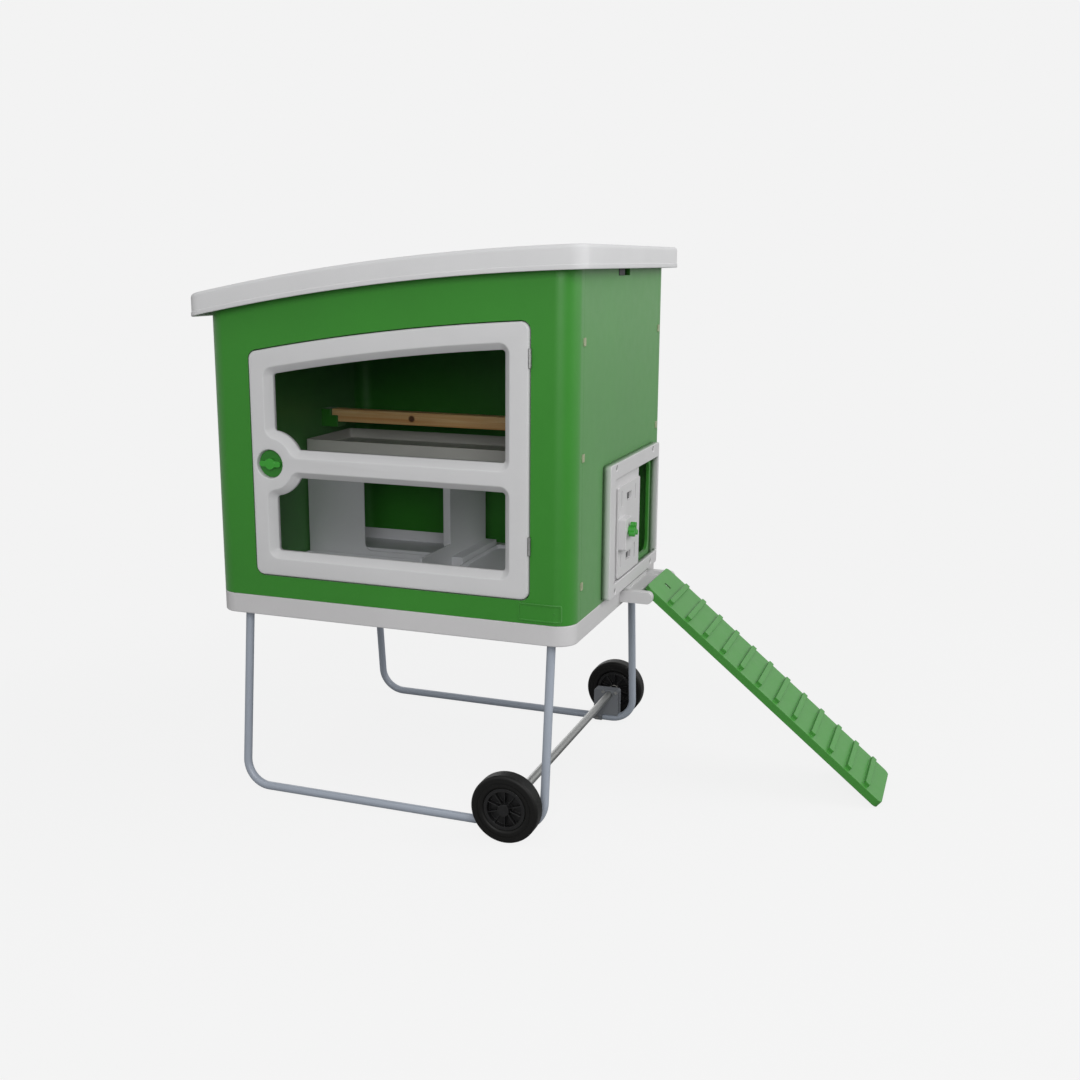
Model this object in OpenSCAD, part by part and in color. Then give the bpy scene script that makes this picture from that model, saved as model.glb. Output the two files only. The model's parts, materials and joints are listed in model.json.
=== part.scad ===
// Raised wheeled hen house of moulded panels on a splayed tube stand,
// with a hinged glazed door, a sliding pop door and a folding ramp.
// Millimetres, +Z up. The front is at -Y and the ramp is at +X.

/* [House shell] */
// Width of the house along its front
house_w = 1124; // [1110:1:1140]
// Depth of the house from front to back
house_d = 940; // [930:1:950]
// Plan radius of the four moulded corners
corner_r = 60; // [50:1:68]
// Thickness of the moulded walls
wall_t = 10; // [8:0.5:10]
// Height of the base underside above the ground
base_z = 557; // [545:1:570]
// Height of the base moulding
base_h = 60; // [58:1:64]
// Thickness of the base skirt and of the deck
deck_t = 10; // [8:0.5:11]
// Distance of the wall seams from the ends of the side walls
seam_inset = 80; // [72:1:86]

/* [Roof] */
// Distance of the centre of the roof arc to the right of the middle
arc_x = 816; // [780:1:850]
// Depth of the centre of the roof arc below the deck
arc_drop = 5753; // [5745:1:5758]
// Radius of the lower edge of the roof skirt
roof_arc_r = 6717; // [6712:1:6725]
// Height of the roof skirt
roof_skirt = 64.5; // [60:0.5:70]
// Overhang of the roof past the walls
roof_overhang = 39; // [34:1:42]
// Plan radius of the roof corners
roof_corner_r = 45; // [40:1:50]
// Thickness of the roof moulding
roof_t = 8; // [6:0.5:10]

/* [Door] */
// Width of the front wall left of the door
door_margin_left = 141; // [137:1:145]
// Width of the front wall right of the door
door_margin_right = 125; // [122:1:129]
// Height of the door's lower edge above the deck
door_sill = 67; // [65:1:70]
// Radius of the door's top edge about the roof arc centre
door_arc_r = 6590; // [6586:1:6594]
// Radius of the door corners
door_corner_r = 25; // [22:1:28]
// Thickness of the door moulding
door_t = 34; // [32:0.5:36]
// How far the door stands out of the front wall
door_proud = 5; // [3:0.5:6]
// Gap round the door
door_gap = 3; // [3:0.1:3.5]
// Width of the stop lip behind the door
lip_w = 12; // [9:0.5:14]
// Thickness of the jamb and of its stop lip
jamb_t = 4.5; // [4:0.5:5]

/* [Windows] */
// Width of the door frame left of the clear glazing
window_margin_left = 67; // [63:1:71]
// Width of the door frame right of the clear glazing
window_margin_right = 76; // [72:1:80]
// Height of the upper glazing's lower edge above the deck
upper_sill = 441; // [438:1:444]
// Radius of the upper glazing's top edge about the roof arc centre
upper_arc_r = 6517; // [6513:1:6520]
// Height of the lower glazing's lower edge above the deck
lower_sill = 139; // [136:1:142]
// Height of the lower glazing's top edge above the deck
lower_head = 360; // [357:1:363]
// Radius of the glazing corners
window_corner_r = 10; // [8:0.5:12]
// Width of the bevel round each window
bevel_w = 20; // [18:0.5:21]
// Depth of the bevel
bevel_d = 26; // [24:0.5:26]
// Width of the rebate that holds each pane
rebate_w = 8; // [6:0.5:8]
// Thickness of the panes
pane_t = 3; // [2:0.5:4]
// Radius of the boss that keeps the glazing clear of the knob
boss_r = 96; // [92:1:98]

/* [Door knob] */
// Distance of the knob from the left edge of the door
knob_inset = 58; // [56:1:60]
// Height of the knob above the deck
knob_h = 399; // [397:1:401]
// Radius of the knob disc
knob_r = 40; // [38:0.5:42]
// Depth of the knob recess in the door
knob_recess_d = 20; // [16:0.5:21]
// Length of the wing handle
wing_l = 68; // [60:1:72]
// Half the height of the wing handle
wing_half = 8.5; // [6:0.5:10]
// Length of the latch tongue from the spindle
tongue_l = 82; // [78:1:86]

/* [Door hinges] */
// Distances of the lower hinge from the door's foot and of the upper one from its head
hinge_inset = [127, 73];
// Height of one hinge
hinge_l = 50; // [45:1:55]
// Radius of the hinge knuckles
knuckle_r = 5; // [4.5:0.1:5.2]
// Radius of the hinge pins
hinge_pin_r = 2; // [1.8:0.1:2.2]

/* [Pop door] */
// Distance of the pop frame from the back of the house
pop_inset = 117; // [114:1:120]
// Width of the pop frame
pop_w = 550; // [547:1:554]
// Height of the pop frame's lower edge above the deck
pop_low = 8; // [6:1:10]
// Height of the pop frame
pop_h = 399; // [396:1:402]
// How far the pop frame stands out of the wall
pop_proud = 25; // [24:0.5:27]
// Widths of the front and back posts of the pop frame
pop_post = [50, 11];
// Widths of the sill and head of the pop frame
pop_rail = [39, 46];
// Width of the sliding door
pop_door_w = 292; // [290:1:294]
// Depth of the grooves that guide the sliding door
groove_d = 6; // [5:0.5:7]
// Width of the hens' hole in the house wall
hole_w = 260; // [255:1:265]
// Lower and upper edge of the hens' hole above the deck
hole_z = [55, 351];

/* [Ramp] */
// Length of the ramp
ramp_l = 954; // [940:1:965]
// Width of the ramp
ramp_w = 250; // [245:1:252]
// Depth of the ramp's side skirts
ramp_skirt = 24.4; // [23:0.1:26]
// Distance of the middle of the ramp from the back of the house
ramp_inset = 310; // [308:1:312]
// Distance of the ramp pin out from the side of the house
pivot_out = 88; // [87:0.5:92]
// Height of the ramp pin above the base underside
pivot_up = 33; // [31:0.5:34]
// Number of foot cleats
cleat_n = 12; // [9:1:12]
// Width of each cleat along the ramp
cleat_w = 17; // [12:0.5:20]
// Height of each cleat above the ramp
cleat_h = 12; // [6:0.5:13]
// Plain stretches of the ramp before the first cleat and after the last
cleat_clear = [80, 58];

/* [Stand] */
// Radius of the leg tubes and of the axle
tube_r = 12.5; // [12:0.1:13]
// Wall thickness of the tubes
tube_t = 1.5; // [1.2:0.1:2]
// Distance of the legs from the sides of the house
leg_inset_x = 76; // [74:1:80]
// Distance of the tops of the legs from the front and back of the house
leg_inset_y = 55; // [53:1:58]
// How far each ground run stands outside the tops of its legs
leg_spread = 58; // [55:1:60]
// Radius of the tube bends
bend_r = 78; // [74:1:82]

/* [Wheels] */
// Radius of the wheels
wheel_r = 100; // [98:0.5:102]
// Width of the wheels
wheel_w = 50; // [48:0.5:52]
// Distance of the axle from the right legs
axle_inset = 84; // [82:1:86]
// Distance of the wheel middles outside the ground runs
wheel_out_y = 73; // [71:1:76]
// Number of fins in each wheel
fin_n = 10; // [8:1:12]

/* [Inside] */
// Size of the square perch
perch_s = 43; // [40:0.5:45]
// Height of the perch underside above the deck
perch_h = 441; // [438:1:445]
// Distance of the middle of the perch from the back of the house
perch_inset = 270; // [265:1:275]
// Height of the nest box above the deck
nest_h = 358; // [354:1:360]
// Right face of the nest box
nest_right = -28; // [-32:1:-24]
// Depth of the nest box, front to back
nest_d = 306; // [302:1:308]
// Height of the floor tray rims above the deck
tray_h = 16; // [14:0.5:18]

/* [Which piece] */
// Piece to show

/* [Hidden] */
$fn = 64;
eps = 1;
// Clearance of parts that lift or slide past each other
lift_clear = 0.3;
// Radial clearance of pins and shafts
run_fit = 0.05;
arc_fn = 720;
grey = [0.75, 0.75, 0.74];
green = [0.24, 0.48, 0.19];
black = [0.05, 0.05, 0.05];
steel = [0.72, 0.73, 0.75];
tube_grey = [0.6, 0.61, 0.65];

floor_z = base_z + base_h;
side_x = house_w / 2;
front_y = -house_d / 2;
in_x = side_x - wall_t;
in_y = house_d / 2 - wall_t;
back_y = house_d / 2;
rib_pitch = house_w / 4;
seam_y = back_y - seam_inset;
door_left = -side_x + door_margin_left;
door_right = side_x - door_margin_right;
door_head = sqrt(door_arc_r ^ 2 - (door_right - arc_x) ^ 2) - arc_drop;
hinge_h = [door_sill + hinge_inset[0], door_head - hinge_inset[1] - hinge_l];
window_left = door_left + window_margin_left;
window_right = door_right - window_margin_right;
knob_x = door_left + knob_inset;
leg_x = side_x - leg_inset_x;
leg_top_y = back_y - leg_inset_y;
leg_foot_y = leg_top_y + leg_spread;
axle_x = leg_x - axle_inset;
wheel_y = leg_foot_y + wheel_out_y;
pop_back = back_y - pop_inset;
pop_front = pop_back - pop_w;
pop_open_front = pop_front + pop_post[0];
pop_open_back = pop_back - pop_post[1];
hole_y = [pop_open_back - 17 - hole_w, pop_open_back - 17];
ramp_y = back_y - ramp_inset;
perch_y = back_y - perch_inset;
arc_z = floor_z - arc_drop;
ceiling_r = roof_arc_r + roof_skirt - roof_t;
wall_arc_r = ceiling_r - lift_clear;
// Heights that clear the roof from above and from below
tall = roof_arc_r + roof_skirt - arc_drop + 100;
under_eaves = arc_z + sqrt(roof_arc_r ^ 2 - (arc_x + side_x + roof_overhang) ^ 2) - 20;

door_front = front_y - door_proud;
door_back = door_front + door_t;
jamb_back = door_back + lift_clear + jamb_t;
bevel_back = door_front + bevel_d;
hinge_x = door_right + door_gap / 2;
hinge_y = front_y - 4;
leaf_t = door_gap / 2 - 0.2;
leaf_back = hinge_y + 30;
knuckle_n = 3;
hinge_head = 2;
knuckle_l = hinge_l / knuckle_n;
knob_z = floor_z + knob_h;
spindle_r = 6;
tongue_t = 5.5;
tongue_w = 20;
tongue_y = jamb_back + 0.5;
screw_r = 2.5;

pop_x = side_x + pop_proud;
pop_z0 = floor_z + pop_low;
pop_z1 = pop_z0 + pop_h;
pop_open_z0 = pop_z0 + pop_rail[0];
pop_open_z1 = pop_z1 - pop_rail[1];
groove_x = side_x + 14;
pop_panel_x = [side_x + lift_clear, groove_x - lift_clear];
pop_mid_z = (pop_open_z0 + pop_open_z1) / 2;
pop_travel = pop_open_back - pop_open_front - pop_door_w - 2 * lift_clear;
pop_knob_y = pop_open_front + 85;
pop_knob_z = pop_mid_z - 6;
boss_x = pop_x + 19;
lobe_at = 17;
vent_d = 14;
pad_x = pop_x - 3;
pop_pad = [47, pop_door_w - 12];
pop_slots = [80, pop_door_w - 62];
pop_recess = [pop_door_w - 159, pop_door_w - 107];

ramp_a = 28;
ramp_b = 20;
ramp_t = 4;
ramp_corner = 18;
cleat_l = ramp_w - 36;
cleat_pitch = (ramp_l - cleat_clear[0] - cleat_clear[1] - cleat_w) / (cleat_n - 1);
ear_r = 13;
ramp_pin_r = 4;
pivot_x = side_x + pivot_out;
pivot_z = base_z + pivot_up;
ramp_reach = sqrt((ramp_l - ramp_a) ^ 2 + (ramp_skirt - ramp_b) ^ 2);
ramp_angle = asin(pivot_z / ramp_reach) - atan((ramp_skirt - ramp_b) / (ramp_l - ramp_a));
ramp_tip_x = pivot_x + (ramp_l - ramp_a) * cos(ramp_angle) + ramp_b * sin(ramp_angle);
arm_t = 24;
arm_gap = 3;

// The frame's origin is under the middle of the whole part
house_x = -(ramp_tip_x - side_x - roof_overhang) / 2;

splay = atan((leg_foot_y - leg_top_y) / (base_z - tube_r));
run = leg_x - bend_r;
socket_d = 40;
leg_l = (base_z + socket_d - tube_r) / cos(splay);
leg_bolt_l = leg_l - socket_d / 2;
socket_r = 20;
bolt_r = 3;
axle_z = wheel_r;
bracket_reach = [54, 34];
bracket_x = [axle_x - bracket_reach[0], axle_x + bracket_reach[1]];
bracket_z = [3, wheel_r + 18];
bracket_half = 18;
strap_w = 30;
bracket_bolts_at = [[axle_x - 20, bracket_z[1] - 7], [bracket_x[1] - 8, bracket_z[1] - 7],
    [bracket_x[0] + 13, tube_r]];
bush_r = tube_r + 2.5;
hub_r = bush_r + 2;
spacer_r = tube_r + 2;
rim_r = [52, 62];
wall_groove = [21, 3, 1.2];
wheel_out = wheel_y + wheel_w / 2 + lift_clear;
spacer_end = wheel_y - wheel_w / 2 - lift_clear;

nest_left = -in_x + 4;
nest_back = in_y - 94;
nest_front = nest_back - nest_d;
nest_t = 6;
nest_lip = 25;
nest_mouth_w = 286;
nest_step = 31;
nest_board = [8, 220, 77];
nest_top = floor_z + nest_h;
drop_tray_z = nest_top;
drop_tray_h = 37;
perch_z = floor_z + perch_h;
perch_half = in_x - 37;

// Puts a piece drawn about the middle of the house into the part's frame
module house() {
    translate([house_x, 0, 0]) children();
}

// Rectangle with round corners
module round_rect(x0, x1, y0, y1, r) {
    translate([x0 + r, y0]) square([x1 - x0 - 2 * r, y1 - y0]);
    translate([x0, y0 + r]) square([x1 - x0, y1 - y0 - 2 * r]);
    for (x = [x0 + r, x1 - r], y = [y0 + r, y1 - r]) {
        translate([x, y]) circle(r = r);
    }
}

// Pushes an outline of X and Z through from y0 to y1
module through_y(y0, y1) {
    translate([0, y1, 0]) rotate([90, 0, 0]) linear_extrude(y1 - y0) children();
}

// Pushes an outline of Y and Z through from x0 to x1
module through_x(x0, x1) {
    translate([x0, 0, 0]) rotate([90, 0, 90]) linear_extrude(x1 - x0) children();
}

// Plain block between two corners
module block(lo, hi) {
    translate(lo) cube(hi - lo);
}

// Round bar along Y
module bar_y(x, z, r, y0, y1) {
    translate([x, y1, z]) rotate([90, 0, 0]) cylinder(r = r, h = y1 - y0);
}

// Round bar along X
module bar_x(y, z, r, x0, x1) {
    translate([x0, y, z]) rotate([0, 90, 0]) cylinder(r = r, h = x1 - x0);
}

// Everything under an arc about the roof's centre, with a corner of its mesh above x
module under_arc(r, x = side_x) {
    spin = 90 + asin((arc_x - x) / r);
    translate([arc_x, house_d, arc_z]) rotate([90, 0, 0]) rotate([0, 0, spin])
        cylinder(r = r, h = 2 * house_d, $fn = arc_fn);
}

// Outline with a flat foot, upright sides, round corners and an arched head
module arched(x0, x1, z0, ar, r) {
    cl = x0 + r;
    cr = x1 - r;
    zl = arc_z + sqrt((ar - r) ^ 2 - (cl - arc_x) ^ 2);
    zr = arc_z + sqrt((ar - r) ^ 2 - (cr - arc_x) ^ 2);
    tl = arc_x + (cl - arc_x) * ar / (ar - r);
    tr = arc_x + (cr - arc_x) * ar / (ar - r);
    translate([cl, z0]) square([cr - cl, 2 * r]);
    polygon([[x0, z0 + r], [x1, z0 + r], [x1, zr], [cr, zr], [cl, zl], [x0, zl]]);
    intersection() {
        translate([arc_x, arc_z]) circle(r = ar, $fn = arc_fn);
        translate([tl, z0 + r]) square([tr - tl, tall]);
    }
    for (p = [[cl, z0 + r], [cr, z0 + r], [cl, zl], [cr, zr]]) {
        translate(p) circle(r = r);
    }
}

// Plan of the house, moved in from its outer face
module house_plan(inset) {
    round_rect(-side_x + inset, side_x - inset, front_y + inset, -front_y - inset,
        corner_r - inset);
}

// Four walls in one ring with the arched top
module wall_ring() {
    intersection() {
        translate([0, 0, floor_z]) linear_extrude(tall) difference() {
            house_plan(0);
            house_plan(wall_t);
        }
        under_arc(wall_arc_r);
    }
}

// Part of the ring past one of the seams, front at -1 and back at 1
module end_wall(side) {
    intersection() {
        wall_ring();
        translate([-house_w, side > 0 ? seam_y : -seam_y - house_d, 0])
            cube([2 * house_w, house_d, 3 * tall]);
    }
}

// Part of the ring between the seams, left at -1 and right at 1
module side_wall(side) {
    intersection() {
        wall_ring();
        translate([side > 0 ? 0 : -house_w, -seam_y, 0])
            cube([house_w, 2 * seam_y, 3 * tall]);
    }
}

// Outline of the door, grown by a margin
module door_outline(grow) {
    arched(door_left - grow, door_right + grow, floor_z + door_sill - grow,
        door_arc_r + grow, door_corner_r + grow);
}

// Outline of a window, grown by a margin
module upper_outline(grow) {
    arched(window_left - grow, window_right + grow, floor_z + upper_sill - grow,
        upper_arc_r + grow, window_corner_r + grow);
}
module lower_outline(grow) {
    round_rect(window_left - grow, window_right + grow, floor_z + lower_sill - grow,
        floor_z + lower_head + grow, window_corner_r + grow);
}

// Circle round the knob that the glazing keeps clear of
module knob_circle(r) {
    translate([knob_x, knob_z]) circle(r = r);
}

// Bevelled cut in front of one window
module bevel() {
    difference() {
        hull($fn = 32) {
            through_y(door_front - eps, door_front) children(0);
            through_y(bevel_back, bevel_back + 0.1) children(1);
        }
        translate([knob_x, bevel_back + 0.2, knob_z]) rotate([90, 0, 0])
            cylinder(r1 = boss_r, r2 = boss_r - bevel_w - eps, h = bevel_d + eps + 0.4);
    }
}

// Run round the hinge heights
module each_hinge() {
    for (h = hinge_h) {
        translate([hinge_x, hinge_y, floor_z + h]) children();
    }
}

// Run round the clips: each seam, three heights
clip_below = 51;
clip_head = sqrt(roof_arc_r ^ 2 - (arc_x + side_x) ^ 2) - arc_drop - clip_below;
clip_h = [99, 458, clip_head];
clip_size = [4, 14, 22];
clip_peg = [3, 6];
module each_clip() {
    for (sx = [-1, 1], sy = [-1, 1], h = clip_h) {
        translate([sx * side_x, sy * seam_y, floor_z + h]) mirror([sx < 0 ? 1 : 0, 0, 0])
            mirror([0, sy < 0 ? 1 : 0, 0]) children();
    }
}
module clip_peg(r, depth) {
    translate([-depth, clip_peg[0] + 1.5, 0]) rotate([0, 90, 0])
        cylinder(r = r, h = depth + eps);
}

// Run round the legs, with Z along the leg from the ground run
module on_stand(side) {
    translate([0, side * leg_foot_y, tube_r]) rotate([side * splay, 0, 0]) children();
}
module each_leg() {
    for (side = [-1, 1], x = [-leg_x, leg_x]) {
        on_stand(side) translate([x, 0, 0]) children();
    }
}

// Cross hole of the bolt that holds each leg
module leg_bolt_hole(r, half) {
    translate([-half, 0, leg_bolt_l]) rotate([0, 90, 0]) cylinder(r = r, h = 2 * half);
}

// Deck with a skirt, ribs and four leg sockets
module base_tray() {
    color(grey) house() difference() {
        union() {
            difference() {
                translate([0, 0, base_z]) linear_extrude(base_h) house_plan(0);
                translate([0, 0, base_z - eps]) linear_extrude(base_h - deck_t + eps)
                    house_plan(deck_t);
            }
            for (i = [-1 : 1]) {
                block([i * rib_pitch - 3, -in_y, base_z + 15], [i * rib_pitch + 3, in_y, floor_z - deck_t]);
            }
            intersection() {
                each_leg() translate([0, 0, leg_l - 2 * socket_d])
                    cylinder(r = socket_r, h = 3 * socket_d);
                block([-side_x, front_y, base_z], [side_x, -front_y, floor_z - eps]);
            }
        }
        each_leg() {
            cylinder(r = tube_r + run_fit, h = leg_l);
            leg_bolt_hole(bolt_r + run_fit, 2 * socket_r);
        }
        for (p = ramp_screws_at) {
            bar_x(p[0], p[1], screw_r + run_fit, side_x - 2 * deck_t, side_x + eps);
        }
    }
}

// Front wall that wraps both corners, with the jamb and stop lip of the door
module front_panel() {
    color(green) house() difference() {
        union() {
            end_wall(-1);
            through_y(front_y + eps, jamb_back) door_outline(door_gap + jamb_t);
        }
        through_y(door_front - eps, jamb_back - jamb_t) door_outline(door_gap);
        through_y(jamb_back - 2 * jamb_t, jamb_back + eps) door_outline(-lip_w);
        each_hinge() translate([0, 0, -0.5])
            cylinder(r = knuckle_r + 0.5, h = hinge_l + hinge_head + 1);
        each_clip() clip_peg(clip_peg[0], clip_peg[1]);
        for (p = plaque_pins) {
            bar_y(p[0], p[1], screw_r, front_y - eps, front_y + 6);
        }
    }
}

// Plain back wall that wraps both corners
module back_panel() {
    color(green) house() difference() {
        end_wall(1);
        each_clip() clip_peg(clip_peg[0], clip_peg[1]);
    }
}

// Left wall, with the peg holes of its perch cradle
module left_panel() {
    color(green) house() side_wall(-1);
}

// Right wall, with the hens' hole, frame screw holes and the catch notch
catch_y = [-72, 45];
catch_below = 19.2;
catch_z = sqrt(roof_arc_r ^ 2 - (side_x - arc_x) ^ 2) - arc_drop - catch_below;
module right_panel() {
    color(green) house() difference() {
        side_wall(1);
        through_x(in_x - eps, side_x + eps)
            round_rect(hole_y[0], hole_y[1], floor_z + hole_z[0], floor_z + hole_z[1], 30);
        for (p = pop_screws_at) {
            bar_x(p[0], p[1], screw_r + run_fit, in_x - eps, side_x + eps);
        }
        block([in_x - eps, catch_y[0], floor_z + catch_z],
            [side_x + eps, catch_y[1], floor_z + tall]);
    }
}

// Clips that pin the wall panels together at the seams
module corner_clips() {
    color([0.72, 0.7, 0.55]) house() each_clip() {
        translate([0, -clip_size[1] / 2, -clip_size[2] / 2]) cube(clip_size);
        clip_peg(clip_peg[0], clip_peg[1]);
    }
}

// Bare plaque with a raised rim, pinned to the front wall, whose corner it follows
plaque_x = [side_x - 155, side_x - 30];
plaque_h = [9, 59];
plaque_t = 4;
plaque_pins = [for (x = [plaque_x[0] + 20, plaque_x[1] - 20]) [x, floor_z + 34]];
module blank_plaque() {
    color(green) house() {
        difference() {
            intersection() {
                through_y(front_y - 2 * plaque_t, front_y + corner_r)
                    round_rect(plaque_x[0], plaque_x[1], floor_z + plaque_h[0],
                        floor_z + plaque_h[1], 6);
                translate([0, 0, floor_z]) linear_extrude(tall) house_plan(-plaque_t);
            }
            translate([0, 0, floor_z]) linear_extrude(tall) house_plan(0);
            difference() {
                through_y(front_y - 3 * plaque_t, front_y + corner_r + eps)
                    round_rect(plaque_x[0] + 4, plaque_x[1] - 4, floor_z + plaque_h[0] + 4,
                        floor_z + plaque_h[1] - 4, 3);
                translate([0, 0, floor_z]) linear_extrude(tall) house_plan(-plaque_t / 3);
            }
        }
        for (p = plaque_pins) {
            bar_y(p[0], p[1], screw_r, front_y - eps, front_y + 6);
        }
    }
}

// Lift-off roof: an arched sheet with a skirt all round
module roof_plan(inset) {
    round_rect(-side_x - roof_overhang + inset, side_x + roof_overhang - inset,
        front_y - roof_overhang + inset, -front_y + roof_overhang - inset,
        roof_corner_r - inset);
}
module roof_lid() {
    color(grey) house() difference() {
        intersection() {
            translate([0, 0, under_eaves]) linear_extrude(tall) roof_plan(0);
            under_arc(roof_arc_r + roof_skirt, side_x + roof_overhang);
        }
        under_arc(roof_arc_r);
        intersection() {
            translate([0, 0, under_eaves - eps]) linear_extrude(tall) roof_plan(roof_t);
            under_arc(ceiling_r);
        }
    }
}

// Catch block in the notch at the head of the right wall
module roof_catch() {
    color(black) house()
        block([in_x, catch_y[0], floor_z + catch_z],
            [side_x + 2, catch_y[0] + 58, floor_z + catch_z + 22]);
}

// Door moulding with two bevelled windows and a recess for the knob
module door_frame() {
    color(grey) house() difference() {
        through_y(door_front, door_back) door_outline(0);
        bevel() {
            upper_outline(bevel_w);
            upper_outline(0);
        }
        bevel() {
            lower_outline(bevel_w);
            lower_outline(0);
        }
        through_y(bevel_back - eps, door_back + eps) difference() {
            union() {
                upper_outline(0);
                lower_outline(0);
            }
            knob_circle(boss_r);
        }
        through_y(bevel_back, door_back + eps) difference() {
            union() {
                upper_outline(rebate_w);
                lower_outline(rebate_w);
            }
            knob_circle(boss_r - rebate_w);
        }
        bar_y(knob_x, knob_z, knob_r + 2, door_front - eps, door_front + knob_recess_d);
        bar_y(knob_x, knob_z, spindle_r + run_fit, door_front, door_back + eps);
        each_hinge() translate([0, 0, -0.5])
            cylinder(r = knuckle_r + 0.5, h = hinge_l + hinge_head + 1);
    }
}

// Tinted panes that lie in the rebates behind the bevels
module pane(y0, y1) {
    through_y(y0, y1) difference() {
        children();
        knob_circle(boss_r - rebate_w + lift_clear);
    }
}
module upper_window() {
    color([0.16, 0.19, 0.16, 0.4]) house() pane(bevel_back, bevel_back + pane_t)
        upper_outline(rebate_w - lift_clear);
}
module lower_window() {
    color([0.16, 0.19, 0.16, 0.4]) house() pane(bevel_back, bevel_back + pane_t)
        lower_outline(rebate_w - lift_clear);
}

// Beads that hold the panes from behind
module window_beads() {
    color(grey) house() difference() {
        union() {
            pane(bevel_back + pane_t, door_back) upper_outline(rebate_w - lift_clear);
            pane(bevel_back + pane_t, door_back) lower_outline(rebate_w - lift_clear);
        }
        through_y(bevel_back, door_back + eps) difference() {
            union() {
                upper_outline(0);
                lower_outline(0);
            }
            knob_circle(boss_r);
        }
    }
}

// Knob disc with a wing handle on a spindle
module door_knob() {
    recess_y = door_front + knob_recess_d - lift_clear;
    color(green) house() {
        bar_y(knob_x, knob_z, knob_r, recess_y - 6, recess_y);
        bar_y(knob_x, knob_z, 16, door_front, recess_y);
        through_y(door_front + 1, recess_y)
            round_rect(knob_x - wing_l / 2, knob_x + wing_l / 2, knob_z - wing_half,
                knob_z + wing_half, wing_half - 1);
        bar_y(knob_x, knob_z, spindle_r, recess_y - eps, tongue_y + tongue_t);
    }
}

// Tongue that turns behind the stop lip
module latch_tongue() {
    color(black) house() through_y(tongue_y, tongue_y + tongue_t) difference() {
        union() {
            translate([knob_x - tongue_w / 2, knob_z - tongue_l])
                square([tongue_w, tongue_l]);
            translate([knob_x, knob_z]) circle(r = 14);
        }
        translate([knob_x, knob_z]) circle(r = spindle_r);
    }
}

// Knuckles of one hinge, from a list of their places counted from below
module knuckles(which) {
    for (i = which) {
        translate([0, 0, i * knuckle_l + (i > 0 ? lift_clear / 2 : 0)]) difference() {
            cylinder(r = knuckle_r, h = knuckle_l - (i == 1 ? lift_clear : lift_clear / 2));
            translate([0, 0, -eps])
                cylinder(r = hinge_pin_r + run_fit, h = hinge_l);
        }
    }
}
module leaf(x0, x1, z0, z1) {
    block([x0, hinge_pin_r + 1, z0], [x1, leaf_back - hinge_y, z1]);
}

// Leaves screwed to the jamb, two knuckles each
module frame_hinge_leaves() {
    color(steel) house() each_hinge() {
        knuckles([0, 2]);
        difference() {
            leaf(door_gap / 2 - leaf_t, door_gap / 2, 0, hinge_l);
            translate([0, 0, knuckle_l - lift_clear / 2])
                cylinder(r = knuckle_r + 0.5, h = knuckle_l + lift_clear);
        }
    }
}

// Leaves screwed to the edge of the door, one knuckle each
module door_hinge_leaves() {
    color(steel) house() each_hinge() {
        knuckles([1]);
        difference() {
            leaf(-door_gap / 2, leaf_t - door_gap / 2, 0, hinge_l);
            for (z = [-eps, 2 * knuckle_l - lift_clear / 2]) {
                translate([0, 0, z])
                    cylinder(r = knuckle_r + 0.5, h = knuckle_l + eps + lift_clear / 2);
            }
        }
    }
}

// Pins with a head that rests on the top knuckle
module hinge_pins() {
    color(steel) house() each_hinge() {
        cylinder(r = hinge_pin_r, h = hinge_l);
        translate([0, 0, hinge_l]) cylinder(r = hinge_pin_r + 1.5, h = hinge_head);
    }
}

// Frame round the hens' hole, grooved for the sliding door
pop_screws_at = [for (y = [pop_front + 62, pop_back - 78], z = [pop_z0 + 17, pop_z1 - 14]) [y, z]];
module pop_frame() {
    color(grey) house() difference() {
        through_x(side_x, pop_x) round_rect(pop_front, pop_back, pop_z0, pop_z1, 12);
        through_x(side_x - eps, pop_x + eps)
            round_rect(pop_open_front, pop_open_back, pop_open_z0, pop_open_z1, 6);
        through_x(side_x - eps, groove_x)
            round_rect(pop_open_front, pop_open_back, pop_open_z0 - groove_d,
                pop_open_z1 + groove_d, 2);
        for (p = pop_screws_at) {
            bar_x(p[0], p[1], screw_r + run_fit, side_x - eps, pop_x + eps);
            bar_x(p[0], p[1], 9, pop_x - 5, pop_x + eps);
        }
    }
}

// Screws that hold the frame to the wall
module pop_frame_screws() {
    color(steel) house() for (p = pop_screws_at) {
        bar_x(p[0], p[1], screw_r, in_x, pop_x - 4);
        bar_x(p[0], p[1], 5, pop_x - 5, pop_x - 2);
    }
}

// Sliding door with a raised pad, slots and recesses
module pop_door() {
    y0 = pop_open_front + lift_clear;
    color(grey) house() difference() {
        union() {
            through_x(pop_panel_x[0], pop_panel_x[1])
                round_rect(y0, y0 + pop_door_w, pop_open_z0 - groove_d + lift_clear,
                    pop_open_z1 + groove_d - lift_clear, 2);
            through_x(pop_panel_x[0], pad_x)
                round_rect(y0 + pop_pad[0], y0 + pop_pad[1], pop_open_z0 + 5, pop_mid_z + 126, 8);
            through_x(pop_panel_x[0], boss_x)
                round_rect(pop_knob_y - 36, pop_knob_y + 36, pop_knob_z - 58, pop_knob_z + 37, 6);
        }
        for (y = pop_slots, z = [pop_mid_z - 124, pop_mid_z + 61]) {
            through_x(pad_x - vent_d, pad_x + eps)
                round_rect(y0 + y - 4, y0 + y + 4, z, z + 50, 3.9);
        }
        for (z = [pop_mid_z - 112, pop_mid_z + 72]) {
            through_x(pad_x - vent_d, pad_x + eps)
                round_rect(y0 + pop_recess[0], y0 + pop_recess[1], z, z + 24, 3);
        }
        bar_x(pop_knob_y, pop_knob_z, 5 + run_fit, pop_panel_x[0] - eps, boss_x + eps);
    }
}

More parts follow.
